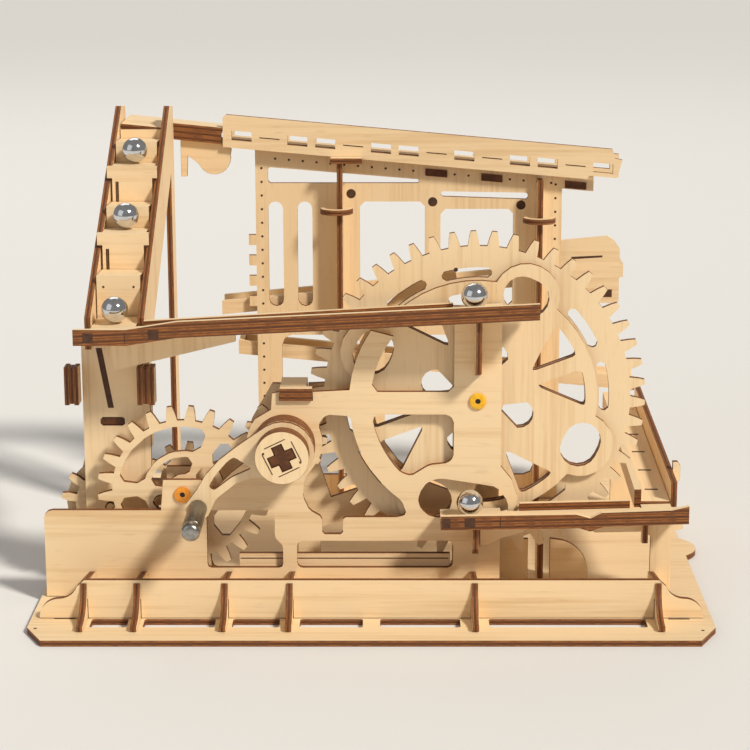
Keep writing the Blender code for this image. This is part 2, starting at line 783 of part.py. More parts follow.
def make_lift_gear():
    pivot = axis_at(LIFT_AXLE, GEAR_DEPTH)
    bore = circle(LIFT_AXLE, PIN_RADIUS + FIT, 12)
    slots = []
    for turn in range(POCKETS):
        angle = POCKET_ANGLE + turn * 360 / POCKETS
        for start, end in RIM_SLOTS:
            slots.append(sector(LIFT_AXLE, RIM_SLOT_INNER, RIM_SLOT_OUTER, angle + start, angle + end))
    outline = gear_outline(LIFT_TEETH, LIFT_AXLE, LIFT_TOOTH_PHASE)
    holes = gear_windows() + slots + [bore]
    prism("lift_gear", outline, GEAR_DEPTH, GEAR_DEPTH + PLY, front_plane, holes, pivot)
    cosine = (RING_RADIUS**2 + POCKET_RADIUS**2 - RING_LOBE**2) / (2 * RING_RADIUS * POCKET_RADIUS)
    part = math.degrees(math.acos(cosine))
    edge = toward((0, 0), RING_RADIUS, part)
    swing = math.degrees(math.atan2(edge[1], edge[0] - POCKET_RADIUS))
    ring = []
    for turn in range(POCKETS):
        angle = POCKET_ANGLE + turn * 360 / POCKETS
        lobe = toward(LIFT_AXLE, POCKET_RADIUS, angle)
        ring += arc(lobe, RING_LOBE, angle - swing, angle + swing, 10)
        ring += arc(LIFT_AXLE, RING_RADIUS, angle + part, angle + 360 / POCKETS - part, 8)[1:-1]
    holes = gear_windows() + [bore]
    prism("lift_gear_ring", ring, RING_DEPTH, RING_DEPTH + PLY, front_plane, holes, pivot)
    head = PLATE_DEPTH - BUSH_PROUD
    stations = [(head, BUSH_RADIUS), (PLATE_DEPTH - FIT, BUSH_RADIUS), (PLATE_DEPTH - FIT, PIN_RADIUS)]
    stations.append((REAR_PLATE_DEPTH + PLY + RUN, PIN_RADIUS))
    spindle("lift_axle", LIFT_AXLE, stations, "yellow")


def facing_phase(teeth, direction, driver_teeth, driver_direction, driver_phase):
    """The phase that puts a gap of one gear where the other gear's tooth points, at rest."""
    step = (driver_direction - driver_phase) / (360 / driver_teeth)
    return direction + 180 / teeth + step * 360 / teeth


def make_crank():
    depth = PLATE_DEPTH - COLLAR_STANDOFF
    pivot = axis_at(CRANK_AXLE, depth)
    bore = cross(FIT)
    collar = depth - COLLAR_PLIES * PLY
    arm = collar - FIT - PLY
    hub = arm - FIT - HUB_PLIES * PLY
    prism("crank_collar", circle(CRANK_AXLE, COLLAR_RADIUS, 28), collar, depth, front_plane, [bore], pivot)
    lever = [
        *arc((0, 0), COLLAR_RADIUS, 22, 268, 16),
        (12.0, -COLLAR_RADIUS + 0.2),
        (20.0, -COLLAR_RADIUS + 0.8),
        (27.0, -ARM_BOW - 2.2),
        (HANDLE_REACH - 3.5, -ARM_BOW + 0.6),
        *arc((HANDLE_REACH, 0), PEG_RADIUS + ARM_WIDE / 2, -50, 110, 6),
        (29.0, 0.8),
        (20.0, 0.0),
        (13.5, 1.6),
    ]
    slot = [
        (12.2, -1.3),
        (15.0, -8.4),
        (18.0, -8.2),
        (24.5, -ARM_BOW - 0.2),
        (28.6, -4.4),
        (27.9, -2.1),
        (19.7, -2.6),
    ]
    outline = turned(lever, HANDLE_DIRECTION, CRANK_AXLE)
    window = turned(soft_corners(slot, 1.2), HANDLE_DIRECTION, CRANK_AXLE)
    prism("crank_arm", outline, arm, arm + PLY, front_plane, [bore, window], pivot)
    prism("crank_hub", circle(CRANK_AXLE, HUB_RADIUS, 28), hub, arm - FIT, front_plane, [bore], pivot)
    end = REAR_PLATE_DEPTH + PLY + RUN
    prism("crank_shaft", cross(), hub + FIT, end, front_plane, pivot=pivot)
    peg = toward(CRANK_AXLE, HANDLE_REACH, HANDLE_DIRECTION)
    tip = arm - FIT - PEG_LONG
    groove = tip + PEG_GROOVE
    stations = [
        (tip, PEG_RADIUS - PEG_EASE),
        (tip + PEG_EASE, PEG_RADIUS),
        (groove - PEG_GROOVE_HALF, PEG_RADIUS),
        (groove, PEG_RADIUS - PEG_GROOVE_HALF),
        (groove + PEG_GROOVE_HALF, PEG_RADIUS),
        (arm - FIT, PEG_RADIUS),
    ]
    spindle("crank_peg", peg, stations, "dark")
    phase = facing_phase(CRANK_TEETH, LIFT_DIRECTION, LIFT_TEETH, LIFT_DIRECTION + 180, LIFT_TOOTH_PHASE)
    outline = gear_outline(CRANK_TEETH, CRANK_AXLE, phase, PINION_ROOT_SHARE)
    prism("crank_pinion", outline, GEAR_DEPTH, GEAR_DEPTH + PLY, front_plane, [bore], pivot)
    return phase


def make_idler(crank_phase):
    """The large idler gear beside the crank pinion, with its own pinion behind the rear plate."""
    pivot = axis_at(IDLER_AXLE, GEAR_DEPTH)
    bore = circle(IDLER_AXLE, PIN_RADIUS + FIT, 12)
    phase = facing_phase(IDLER_TEETH, IDLER_DIRECTION + 180, CRANK_TEETH, IDLER_DIRECTION, crank_phase)
    root = MODULE * (IDLER_TEETH / 2 - DEDENDUM)
    windows = []
    for start in IDLER_WINDOWS:
        end = start + IDLER_WINDOW_SPAN
        middle = root - IDLER_BAND - IDLER_OUTER_DEEP
        windows.append(sector(IDLER_AXLE, middle, root - IDLER_RIM, start, end, IDLER_WINDOW_ROUND))
        middle = root - IDLER_BAND - IDLER_INNER_STEP
        lag = start + IDLER_WINDOW_LAG
        windows.append(sector(IDLER_AXLE, IDLER_HUB, middle, lag, end, IDLER_WINDOW_ROUND))
    outline = gear_outline(IDLER_TEETH, IDLER_AXLE, phase)
    prism("idler_gear", outline, GEAR_DEPTH, GEAR_DEPTH + PLY, front_plane, [*windows, bore], pivot)
    outline = gear_outline(IDLER_PINION_TEETH, IDLER_AXLE, phase, PINION_ROOT_SHARE)
    far = SECOND_GEAR_DEPTH + PLY
    prism("idler_pinion", outline, SECOND_GEAR_DEPTH, far, front_plane, [bore], pivot)
    head = PLATE_DEPTH - BUSH_PROUD
    stations = [(head, BUSH_RADIUS), (PLATE_DEPTH - FIT, BUSH_RADIUS), (PLATE_DEPTH - FIT, PIN_RADIUS)]
    stations.append((far + RUN, PIN_RADIUS))
    spindle("idler_axle", IDLER_AXLE, stations, "orange")
    return phase


def make_stair_drive(idler_phase):
    """The small gear under the stairs, on a short shaft with a crank disc that lifts the moving steps."""
    pivot = axis_at(STAIR_AXLE, SECOND_GEAR_DEPTH)
    bore = circle(STAIR_AXLE, PIN_RADIUS + FIT, 12)
    back_direction = STAIR_DIRECTION + 180
    phase = facing_phase(STAIR_TEETH, back_direction, IDLER_PINION_TEETH, STAIR_DIRECTION, idler_phase)
    outline = gear_outline(STAIR_TEETH, STAIR_AXLE, phase, PINION_ROOT_SHARE)
    far = SECOND_GEAR_DEPTH + PLY
    prism("stair_gear", outline, SECOND_GEAR_DEPTH, far, front_plane, [bore], pivot)
    disc = circle(STAIR_AXLE, CRANK_THROW + CRANK_DISC_RIM, 28)
    back = STAIR_CRANK_DEPTH + PLY
    piece = prism("stair_crank_disc", disc, STAIR_CRANK_DEPTH, back, front_plane, (), pivot)
    pin = toward(STAIR_AXLE, CRANK_THROW, CRANK_PIN_ANGLE)
    stub = prism("disc_stub", circle(pin, PIN_RADIUS, 12), back - FIT, back + STUB_LONG, front_plane)
    near, far = REAR_PLATE_DEPTH - RUN, STAIR_CRANK_DEPTH + FIT
    join(piece, stub, prism("disc_shaft", circle(STAIR_AXLE, PIN_RADIUS, 12), near, far, front_plane))


def stringer_edge(depth):
    """Height of the stringers' front edge at a depth."""
    return STAIR_FOOT_Z + STAIR_SLOPE * (depth - STAIR_START)


def step_top(depth):
    """Height of a fixed step's lip, whose ears rest on the stringers."""
    return stringer_edge(depth + PLY) + FIT + STEP_EAR


def stair_half():
    """Half of the width inside the stringers."""
    return STAIR_INSIDE / 2


def make_stair_frame():
    """Two stringers and the board that carries their front end."""
    board_back = REAR_PLATE_DEPTH + PLY + FIT
    seat = FRONT_BOARD_TOP + FIT
    leg = board_back + STRINGER_FRONT_LEG
    tail = STRINGER_TAIL - STRINGER_LEG
    outline = [
        (STAIR_START, seat),
        (REAR_PLATE_DEPTH - FIT, seat),
        (board_back, seat),
        (board_back, STRINGER_LEG_END),
        (leg, STRINGER_LEG_END),
        (leg, stringer_edge(leg) - STRINGER_DEEP),
        (tail, stringer_edge(tail) - STRINGER_DEEP),
        (tail, FLOOR),
        (STRINGER_TAIL, FLOOR),
        (STRINGER_TAIL, stringer_edge(STAIR_TOP_DEPTH) - 1.5),
        (STAIR_TOP_DEPTH, stringer_edge(STAIR_TOP_DEPTH)),
        (STAIR_START, stringer_edge(STAIR_START)),
    ]
    inner = stair_half()
    prism("stair_stringer_left", outline, STAIR_X - inner - PLY, STAIR_X - inner, side_plane)
    prism("stair_stringer_right", outline, STAIR_X + inner, STAIR_X + inner + PLY, side_plane)
    tongue = track_floor_z(STAIR_X - inner) - PLY - FIT
    board = [
        (FRONT_BOARD_LEFT, FLOOR),
        (FRONT_BOARD_RIGHT, FLOOR),
        (FRONT_BOARD_RIGHT, FRONT_BOARD_TOP),
        (STAIR_X + inner - FIT, FRONT_BOARD_TOP),
        (STAIR_X + inner - FIT, tongue),
        (STAIR_X - inner + FIT, tongue),
        (STAIR_X - inner + FIT, FRONT_BOARD_TOP),
        (FRONT_BOARD_LEFT, FRONT_BOARD_TOP),
    ]
    slot = rounded(STAIR_X - 7.4, 62.8, STAIR_X + 1.5, 66.0, 0.8, 1)
    holes = [slot, circle(STAIR_AXLE, PIN_RADIUS + RUN, 12)]
    prism("stair_front_board", board, REAR_PLATE_DEPTH, REAR_PLATE_DEPTH + PLY, front_plane, holes)


def tread(name, depth, reach, top, half):
    """A step's landing: a small sheet that slopes down towards the back."""
    plane = climbing_plane(depth, top - TREAD_SINK - PLY, -STEP_FALL / STEP_PITCH)
    return prism(name, box(STAIR_X - half, depth, STAIR_X + half, depth + reach), 0, PLY, plane)


def make_fixed_steps():
    """Two fixed steps, each a board with ears over the stringers and a landing fused behind it."""
    half = stair_half()
    landing = STEP_PITCH / 2 - PLY - RUN
    for number in (1, 2):
        depth = FIRST_STEP_DEPTH + (number - 1) * STEP_PITCH
        top = step_top(depth)
        ear = top - STEP_EAR
        neck = half - STEP_NECK
        outline = [
            (STAIR_X - neck, top - STEP_RISER),
            (STAIR_X + neck, top - STEP_RISER),
            (STAIR_X + neck, ear),
            (STAIR_X + half + PLY / 2, ear),
            (STAIR_X + half + PLY / 2, top),
            (STAIR_X - half - PLY / 2, top),
            (STAIR_X - half - PLY / 2, ear),
            (STAIR_X - neck, ear),
        ]
        slit = box(STAIR_X - neck + 1.2, top - 13.5, STAIR_X - neck + 2.4, top - 5.7)
        step = prism(f"fixed_step_{number}", outline, depth, depth + PLY, front_plane, [slit])
        join(step, tread(f"landing_{number}", depth + PLY - FIT, landing + FIT, top, half - FIT))


def make_moving_steps():
    """Three moving steps on one comb, all on the lift slide, and the link that drives them."""
    half = stair_half() - RUN
    landing = STEP_PITCH / 2 - PLY - RUN
    first = FIRST_STEP_DEPTH - STEP_PITCH / 2
    pivot = (STAIR_X, first - BASE_DEPTH / 2, step_top(first))
    slot = PLY / 2 + FIT
    comb_top, comb_low = [], []
    for number in (1, 2, 3):
        depth = first + (number - 1) * STEP_PITCH
        top = step_top(depth - STEP_PITCH / 2) + STEP_REST_LIFT
        bottom = top - MOVING_RISER
        lap = bottom + COMB_LAP
        outline = [
            (STAIR_X - half, bottom),
            (STAIR_X - slot, bottom),
            (STAIR_X - slot, lap),
            (STAIR_X + slot, lap),
            (STAIR_X + slot, bottom),
            (STAIR_X + half, bottom),
            (STAIR_X + half, top),
            (STAIR_X - half, top),
        ]
        step = prism(f"moving_step_{number}", outline, depth, depth + PLY, front_plane, pivot=pivot)
        join(step, tread(f"moving_landing_{number}", depth + PLY - FIT, landing + FIT, top, half))
        near, far = depth - FIT - COMB_END, depth + PLY + FIT + COMB_END
        comb_top += [(near, lap - FIT), (far, lap - FIT)]
        if number > 1:
            comb_low += [(near, bottom - COMB_DROP), (far, bottom - COMB_DROP)]
            continue
        notch = bottom + COMB_NOTCH
        comb_low += [(near, bottom), (far, bottom)]
        comb_low += [(LINK_DEPTH - RUN, notch), (LINK_DEPTH + PLY + RUN, notch)]
        drive = (LINK_PIN_X, bottom + LINK_PIN_UP)
        back = depth + PLY
    comb = comb_low + comb_top[::-1]
    prism("step_comb", comb, STAIR_X - PLY / 2, STAIR_X + PLY / 2, side_plane, pivot=pivot)
    pin = toward(STAIR_AXLE, CRANK_THROW, CRANK_PIN_ANGLE)
    length = math.dist(drive, pin)
    lean = math.degrees(math.atan2(pin[1] - drive[1], pin[0] - drive[0]))
    bar = arc((0, 0), LINK_HALF, 90, 270, 8) + arc((length, 0), LINK_HALF, -90, 90, 8)
    link = turned(bar, lean, drive)
    hinge = axis_at(drive, back)
    piece = prism("step_link", link, LINK_DEPTH, LINK_DEPTH + PLY, front_plane, pivot=hinge)
    join(piece, prism("link_pin", circle(drive, PIN_RADIUS, 12), back + FIT, LINK_DEPTH + FIT, front_plane))


def make_front_track():
    """The long open track at the front, from the lift gear to the foot of the stairs."""
    wall, lane = TRACK_WALL_DEPTH, TRACK_WALL_DEPTH + PLY + FIT
    rear = lane + LANE + FIT
    top = [(TRACK_RIGHT, TRACK_RIGHT_TOP), (TRACK_RISE_END, TRACK_RISE_TOP), (TRACK_CUP_END, TRACK_CUP_TOP)]
    top.append((TRACK_LEFT, TRACK_CUP_TOP))
    low = [(x, z - TRACK_WALL_HIGH) for x, z in reversed(top)]
    prism("front_track_near_wall", low + top, wall, wall + PLY, front_plane)
    plane = sloped_plane(TRACK_LEFT, TRACK_FLOOR_LEFT - PLY, TRACK_FALL)
    inner = stair_half() - FIT
    end = REAR_PLATE_DEPTH + PLY
    axle_x = LIFT_AXLE[0]
    floor = [
        (TRACK_LEFT, lane),
        (TRACK_RIGHT, lane),
        (TRACK_RIGHT, lane + LANE),
        (axle_x + ARM_HALF, lane + LANE),
        (axle_x + ARM_HALF, PLATE_BACK),
        (TRACK_GATE + FIT, PLATE_BACK),
        (TRACK_GATE + FIT, lane + LANE),
        (STAIR_X + inner, lane + LANE),
        (STAIR_X + inner, end),
        (STAIR_X - inner, end),
        (STAIR_X - inner, lane + LANE),
        (TRACK_LEFT, lane + LANE),
    ]
    prism("front_track_floor", floor, 0, PLY, plane)
    left = STAIR_X + inner + PLY + 2 * FIT
    back = [
        (left, track_floor_z(left) - PLY),
        (TRACK_GATE, track_floor_z(TRACK_GATE) - PLY),
        (TRACK_GATE, track_floor_z(TRACK_GATE) + TRACK_BACK_UP),
        (left, track_floor_z(left) + TRACK_BACK_UP),
    ]
    prism("front_track_rear_wall", back, rear, rear + PLY, front_plane)
    under = track_floor_z(left) - PLY - FIT
    gusset = [
        (left - 12, under - 6),
        (left - 10.4, under - 13.5),
        (left + 32, under - 3.2),
        (left + 32, under + TRACK_FALL * 32 - 0.5),
        (left + 2, under + 0.2),
        (left - 10, under - 0.6),
    ]
    prism("front_track_gusset", gusset, rear, rear + PLY, front_plane)


def make_tray():
    """The open tray at the lower right, which leads the balls left to the pick-up hole."""
    wall, lane = TRACK_WALL_DEPTH, TRACK_WALL_DEPTH + PLY + FIT
    rear = lane + LANE + FIT
    step = TRAY_LEFT + TRAY_STEP
    near = [
        (TRAY_LEFT, tray_floor_z(TRAY_LEFT) - TRAY_WALL_DOWN),
        (step - 4, tray_floor_z(step) - TRAY_WALL_DOWN - 0.6),
        (step, tray_floor_z(step) - TRAY_WALL_DOWN - 1.8),
        (step + 5, tray_floor_z(step) - TRAY_WALL_DOWN),
        (TRAY_RIGHT, tray_floor_z(TRAY_RIGHT) - TRAY_WALL_DOWN),
        (TRAY_RIGHT, tray_floor_z(TRAY_RIGHT) + TRAY_WALL_UP + 1.4),
        (TRAY_RIGHT - 6, tray_floor_z(TRAY_RIGHT) + TRAY_WALL_UP),
        (step + 4, tray_floor_z(step) + TRAY_WALL_UP),
        (step, tray_floor_z(step) + TRAY_WALL_UP - 2.0),
        (step - 5, tray_floor_z(step) + TRAY_WALL_UP - 0.6),
        (TRAY_LEFT, tray_floor_z(TRAY_LEFT) + TRAY_WALL_UP),
    ]
    prism("tray_near_wall", near, wall, wall + PLY, front_plane)
    axle_x = LIFT_AXLE[0]
    plane = sloped_plane(TRAY_LEFT, TRAY_LEFT_Z - PLY, TRAY_FALL)
    outer = SIDE_RAIL_X + LANE / 2
    inner = SIDE_RAIL_X - LANE / 2
    floor = [
        (TRAY_LEFT, lane),
        (TRAY_RIGHT, lane),
        (TRAY_RIGHT, lane + LANE),
        (outer, lane + LANE),
        (outer, PLATE_BACK),
        (inner, PLATE_BACK),
        (inner, lane + LANE),
        (axle_x + ARM_HALF, lane + LANE),
        (axle_x + ARM_HALF, PLATE_BACK),
        (TRAY_LEFT, PLATE_BACK),
    ]
    prism("tray_floor", floor, 0, PLY, plane)
    right = min(TRAY_REAR_RIGHT, inner - FIT)
    back = [
        (TRAY_REAR_LEFT, tray_floor_z(TRAY_REAR_LEFT) - PLY),
        (right, tray_floor_z(right) - PLY),
        (right, tray_floor_z(right) + TRAY_WALL_UP),
        (TRAY_REAR_LEFT, tray_floor_z(TRAY_REAR_LEFT) + TRAY_WALL_UP),
    ]
    prism("tray_rear_wall", back, rear, rear + PLY, front_plane)
    under = tray_floor_z(inner) - PLY - FIT
    post = [
        (TRAY_POST_LEFT, FLOOR),
        (TRAY_POST_LEFT + TRAY_POST_WIDE, FLOOR),
        (TRAY_POST_LEFT + TRAY_POST_WIDE, under - 7),
        (TRAY_POST_LEFT + TRAY_POST_WIDE + 4, under - 6),
        (TRAY_POST_LEFT + TRAY_POST_WIDE + 4, under),
        (inner, under),
        (inner, under - 6),
        (TRAY_POST_LEFT, under - 9),
    ]
    prism("tray_post", post, PLATE_DEPTH, PLATE_BACK, front_plane)


def side_rail_z(depth):
    """Top of the right-hand rail's floor."""
    return SIDE_RAIL_FRONT_Z + SIDE_RAIL_FALL * (depth - SIDE_RAIL_FRONT)


def make_side_rail():
    """The rail along the right edge: it brings the balls forward from the zigzag to the tray."""
    inner, outer = SIDE_RAIL_X - LANE / 2, SIDE_RAIL_X + LANE / 2
    far = TOWER_DEPTH + PLY
    rise = SIDE_RAIL_FALL * (far - SIDE_RAIL_FRONT)
    low = side_rail_z(SIDE_RAIL_FRONT) - PLY
    bottom = [(SIDE_RAIL_FRONT, low), (far, low + rise)]
    section = bottom + [(depth, z + PLY) for depth, z in reversed(bottom)]
    floor = prism("side_rail_floor", section, inner, outer, side_plane)
    lip = [(u, v + (PLY + LIP if i > 1 else 0)) for i, (u, v) in enumerate(section)]
    join(floor, prism("side_rail_lip", lip, inner - PLY, inner + FIT, side_plane))
    wall = [(u, v + (SIDE_WALL_UP if i > 1 else 0)) for i, (u, v) in enumerate(section)]
    prism("side_rail_wall", wall, outer + FIT, outer + FIT + PLY, side_plane)
    depth = far - SIDE_POST_IN
    under = side_rail_z(depth) - PLY - FIT
    prism("side_rail_post", box(inner, FLOOR, outer + PLY, under), depth, depth + PLY, front_plane)


def rail_z(x):
    """Top of the high rail's floor."""
    return RAIL_LEFT_Z + RAIL_FLOOR_UP - RAIL_FALL * (x - RAIL_LEFT)


def make_top_rail():
    """The long sloping rail along the top, with its slotted front wall, and the landing that feeds it."""
    wall, lane = RAIL_DEPTH, RAIL_DEPTH + PLY + FIT
    rear = lane + LANE + FIT
    fall = RAIL_FALL * (RAIL_RIGHT - RAIL_LEFT)
    outline = [
        (RAIL_LEFT, RAIL_LEFT_Z),
        (RAIL_RIGHT - 14, RAIL_LEFT_Z - fall * (1 - 14 / (RAIL_RIGHT - RAIL_LEFT))),
        (RAIL_RIGHT - 13, RAIL_LEFT_Z - fall + 2.6),
        (RAIL_RIGHT - 2, RAIL_LEFT_Z - fall + 1.6),
        (RAIL_RIGHT, RAIL_LEFT_Z - fall + RAIL_WALL_HIGH - 4),
        (RAIL_RIGHT - 3, RAIL_LEFT_Z - fall + RAIL_WALL_HIGH - 3.4),
        (RAIL_RIGHT - 4, RAIL_LEFT_Z - fall + RAIL_WALL_HIGH + 0.3),
        (RAIL_LEFT + 1.5, RAIL_LEFT_Z + RAIL_WALL_HIGH),
        (RAIL_LEFT, RAIL_LEFT_Z + RAIL_WALL_HIGH - 1.5),
    ]
    slots = []
    for number in RAIL_SLOTS_OPEN:
        left = RAIL_LEFT + RAIL_SLOT_IN + number * RAIL_SLOT_PITCH
        low = RAIL_LEFT_Z + RAIL_SLOT_UP
        slot = box(left, 0, left + RAIL_SLOT_LONG, RAIL_SLOT_HIGH)
        slots.append([(x, low - RAIL_FALL * (x - RAIL_LEFT) + z) for x, z in slot])
    prism("top_rail_front_wall", outline, wall, wall + PLY, front_plane, slots)
    plane = sloped_plane(RAIL_LEFT, RAIL_LEFT_Z + RAIL_FLOOR_UP - PLY, -RAIL_FALL)
    end = RAIL_RIGHT - RAIL_DROP
    prism("top_rail_floor", box(RAIL_LEFT, lane, end, lane + LANE), 0, PLY, plane)
    low = [(RAIL_LEFT, RAIL_LEFT_Z), (RAIL_RIGHT, RAIL_LEFT_Z - fall)]
    high = [(x, z + RAIL_WALL_HIGH - RAIL_REAR_LOWER) for x, z in reversed(low)]
    prism("top_rail_rear_wall", low + high, rear, rear + PLY, front_plane, slots)
    inner = stair_half() - FIT
    exit_left, exit_right = STAIR_X - inner, STAIR_X + inner
    lip = FIRST_STEP_DEPTH + 2 * STEP_PITCH
    front = lip + PLY + FIT
    passage = STRINGER_TAIL + FIT
    landing = [
        (exit_left, front),
        (exit_right, front),
        (exit_right, passage),
        (RAIL_LEFT - FIT, passage),
        (RAIL_LEFT - FIT, lane + LANE),
        (exit_left, lane + LANE),
    ]
    plane = sloped_plane(STAIR_X, EXIT_TOP - PLY, -EXIT_FALL)
    floor = prism("stair_exit_landing", landing, 0, PLY, plane)
    board = box(exit_left, EXIT_TOP - STEP_RISER, exit_right, EXIT_TOP - PLY / 2)
    join(floor, prism("exit_lip", board, lip, lip + PLY + 2 * FIT, front_plane))


def make_tower():
    """The tall frame behind the gears, with its windows, and the two deep posts in front of it."""
    head = rail_z(TOWER_LEFT) - PLY - FIT
    ear = TOWER_RIGHT + TOWER_EAR_REACH
    ear_top = rail_z(ear) - PLY - FIT
    outline = [
        (TOWER_LEFT, FLOOR),
        (TOWER_RIGHT, FLOOR),
        (TOWER_RIGHT, ear_top - TOWER_EAR_HIGH + RAIL_FALL * TOWER_EAR_REACH),
        (ear, ear_top - TOWER_EAR_HIGH),
        (ear, ear_top),
        (TOWER_LEFT, head),
    ]
    for number in reversed(range(COMB_TEETH)):
        low = COMB_START + number * 2 * COMB_TOOTH
        outline += [
            (TOWER_LEFT, low + COMB_TOOTH),
            (TOWER_LEFT - COMB_REACH, low + COMB_TOOTH),
            (TOWER_LEFT - COMB_REACH, low),
            (TOWER_LEFT, low),
        ]
    sash = head - TOWER_HEAD
    edge = TOWER_LEFT + TOWER_EDGE
    slit_low = sash - TOWER_SLIT_FALL
    slanted = [(edge, slit_low), (TOWER_SASH_END, slit_low), (TOWER_SASH_END, slit_low + 1.5), (edge, sash)]
    slat_low = TOWER_SLAT_TOP - TOWER_SLAT_HIGH
    slat = [
        (TOWER_MULLION, slat_low),
        (TOWER_SLAT_END, slat_low - TOWER_SLAT_FALL),
        (TOWER_SLAT_END, TOWER_SLAT_TOP - TOWER_SLAT_FALL / 2),
        (TOWER_MULLION, TOWER_SLAT_TOP),
    ]
    windows = [soft_corners(slanted, 1.0, 1), soft_corners(slat, 0.8, 1)]
    lintel = sash - TOWER_LINTEL
    for left in (edge, edge + TOWER_SLIT_PITCH):
        right = left + TOWER_SLIT_WIDE
        windows.append(rounded(left, TOWER_SILL, right, lintel, TOWER_SLIT_WIDE / 2 - 0.1, 3))
    right = TOWER_LEFT_WINDOW + TOWER_LEFT_WINDOW_WIDE
    windows.append(rounded(TOWER_LEFT_WINDOW, TOWER_SILL, right, lintel, 2.0, 1))
    right = TOWER_MULLION + TOWER_RIGHT_WINDOW
    windows.append(rounded(TOWER_MULLION, TOWER_SILL, right, lintel - 3.0, 2.0, 1))
    foot, apron = FLOOR + TOWER_FOOT, TOWER_SILL - TOWER_APRON
    windows.append(rounded(TOWER_LEFT + TOWER_FOOT, foot, TOWER_LEFT_WINDOW, apron, 4.0, 2))
    windows.append(rounded(TOWER_LEFT_WINDOW + TOWER_FOOT, foot, TOWER_RIGHT - TOWER_FOOT, apron, 4.0, 2))
    prism("tower_frame", outline, TOWER_DEPTH, TOWER_DEPTH + PLY, front_plane, windows)
    near = TOWER_DEPTH - FIT - POST_DEEP
    for name, place in zip(("tower_post_left", "tower_post_right"), POST_PLACES):
        top = rail_z(place) - PLY - FIT - POST_BELOW
        prism(name, box(near, FLOOR, TOWER_DEPTH - FIT, top), place - PLY / 2, place + PLY / 2, side_plane)


def zigzag(name, left, right, left_z, rise, catch):
    """A rail behind the tower: a floor with two low walls, and at one end a taller catch."""
    near = TOWER_DEPTH + PLY + FIT
    far = near + 2 * PLY + LANE
    top = PLY + ZIG_WALL_UP

    def plane(u, v, w):
        return w, u - BASE_DEPTH / 2, v + left_z + rise * (w - left)

    section = [(near, 0), (far, 0), (far, top), (far - PLY, top), (far - PLY, PLY), (near + PLY, PLY)]
    section += [(near + PLY, top), (near, top)]
    piece = prism(name, section, left, right, plane)
    closed = box(near + PLY / 2, PLY / 2, far - PLY / 2, top - SUNK)
    stop = right - PLY - SUNK if catch == "right" else left + SUNK
    join(piece, prism(f"{name}_stop", closed, stop, stop + PLY, plane))
    return piece


def make_zigzag():
    upper = zigzag("zigzag_rail_upper", ZIG_UPPER_LEFT, ZIG_UPPER_RIGHT, ZIG_UPPER_LEFT_Z, ZIG_FALL, "right")
    left_z = ZIG_LOWER_RIGHT_Z + ZIG_FALL * (ZIG_LOWER_RIGHT - ZIG_LOWER_LEFT)
    zigzag("zigzag_rail_lower", ZIG_LOWER_LEFT, ZIG_LOWER_RIGHT, left_z, -ZIG_FALL, "left")
    near = TOWER_DEPTH + PLY + FIT
    low = ZIG_UPPER_LEFT_Z + ZIG_FALL * (ZIG_CATCH_LEFT - ZIG_UPPER_LEFT) + PLY - ZIG_CATCH_DOWN
    high = low + ZIG_CATCH_HIGH
    block = [
        (ZIG_CATCH_LEFT, low),
        (ZIG_CATCH_RIGHT, low),
        (ZIG_CATCH_RIGHT, high - ZIG_CATCH_CORNER),
        (ZIG_CATCH_RIGHT - ZIG_CATCH_CORNER / 2, high - ZIG_CATCH_CORNER / 3),
        (ZIG_CATCH_RIGHT - ZIG_CATCH_CORNER, high),
        (ZIG_CATCH_LEFT, high - PLY),
    ]
    join(upper, prism("catch_board", block, near + SUNK, near + PLY - SUNK, front_plane))


def make_balls():
    """Five steel balls where they lie along the run."""
    lane = TRACK_WALL_DEPTH + PLY + FIT + LANE / 2
    radius = BALL_DIAMETER / 2
    lift = radius + FIT
    ball("ball_track", BALL_ON_TRACK, lane, track_floor_z(BALL_ON_TRACK) + lift)
    ball("ball_tray", BALL_ON_TRAY, lane, tray_floor_z(BALL_ON_TRAY) + lift)
    ball("ball_entry", STAIR_X, STAIR_START + 2.5, track_floor_z(STAIR_X) + lift)
    for number, name in ((1, "ball_stair_low"), (2, "ball_stair_high")):
        depth = FIRST_STEP_DEPTH + (number - 1) * STEP_PITCH
        place = depth + STEP_PITCH / 2 - RUN - radius
        fall = STEP_FALL / STEP_PITCH * (place - depth - PLY)
        ball(name, STAIR_X, place, step_top(depth) - fall + lift)


def main():
    for piece in list(bpy.data.objects):
        bpy.data.objects.remove(piece, do_unlink=True)
    make_base()
    make_skirt()
    make_buttresses()
    make_front_plate()
    make_rear_plate()
    make_lift_gear()
    idler_phase = make_idler(make_crank())
    make_stair_drive(idler_phase)
    make_stair_frame()
    make_fixed_steps()
    make_moving_steps()
    make_front_track()
    make_tray()
    make_side_rail()
    make_top_rail()
    make_tower()
    make_zigzag()
    make_balls()


main()
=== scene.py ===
"""Looks of the wooden marble run: laser-cut birch plywood, steel balls, plastic bushes and small trim.

Sizes are in millimetres in the part's own frame and become metres where a mesh is made. X runs to the
right, depth is measured back from the base's front edge, and Z runs up.
"""

import json
import logging
import math
from collections.abc import Iterable, Sequence
from dataclasses import dataclass, field
from enum import Enum

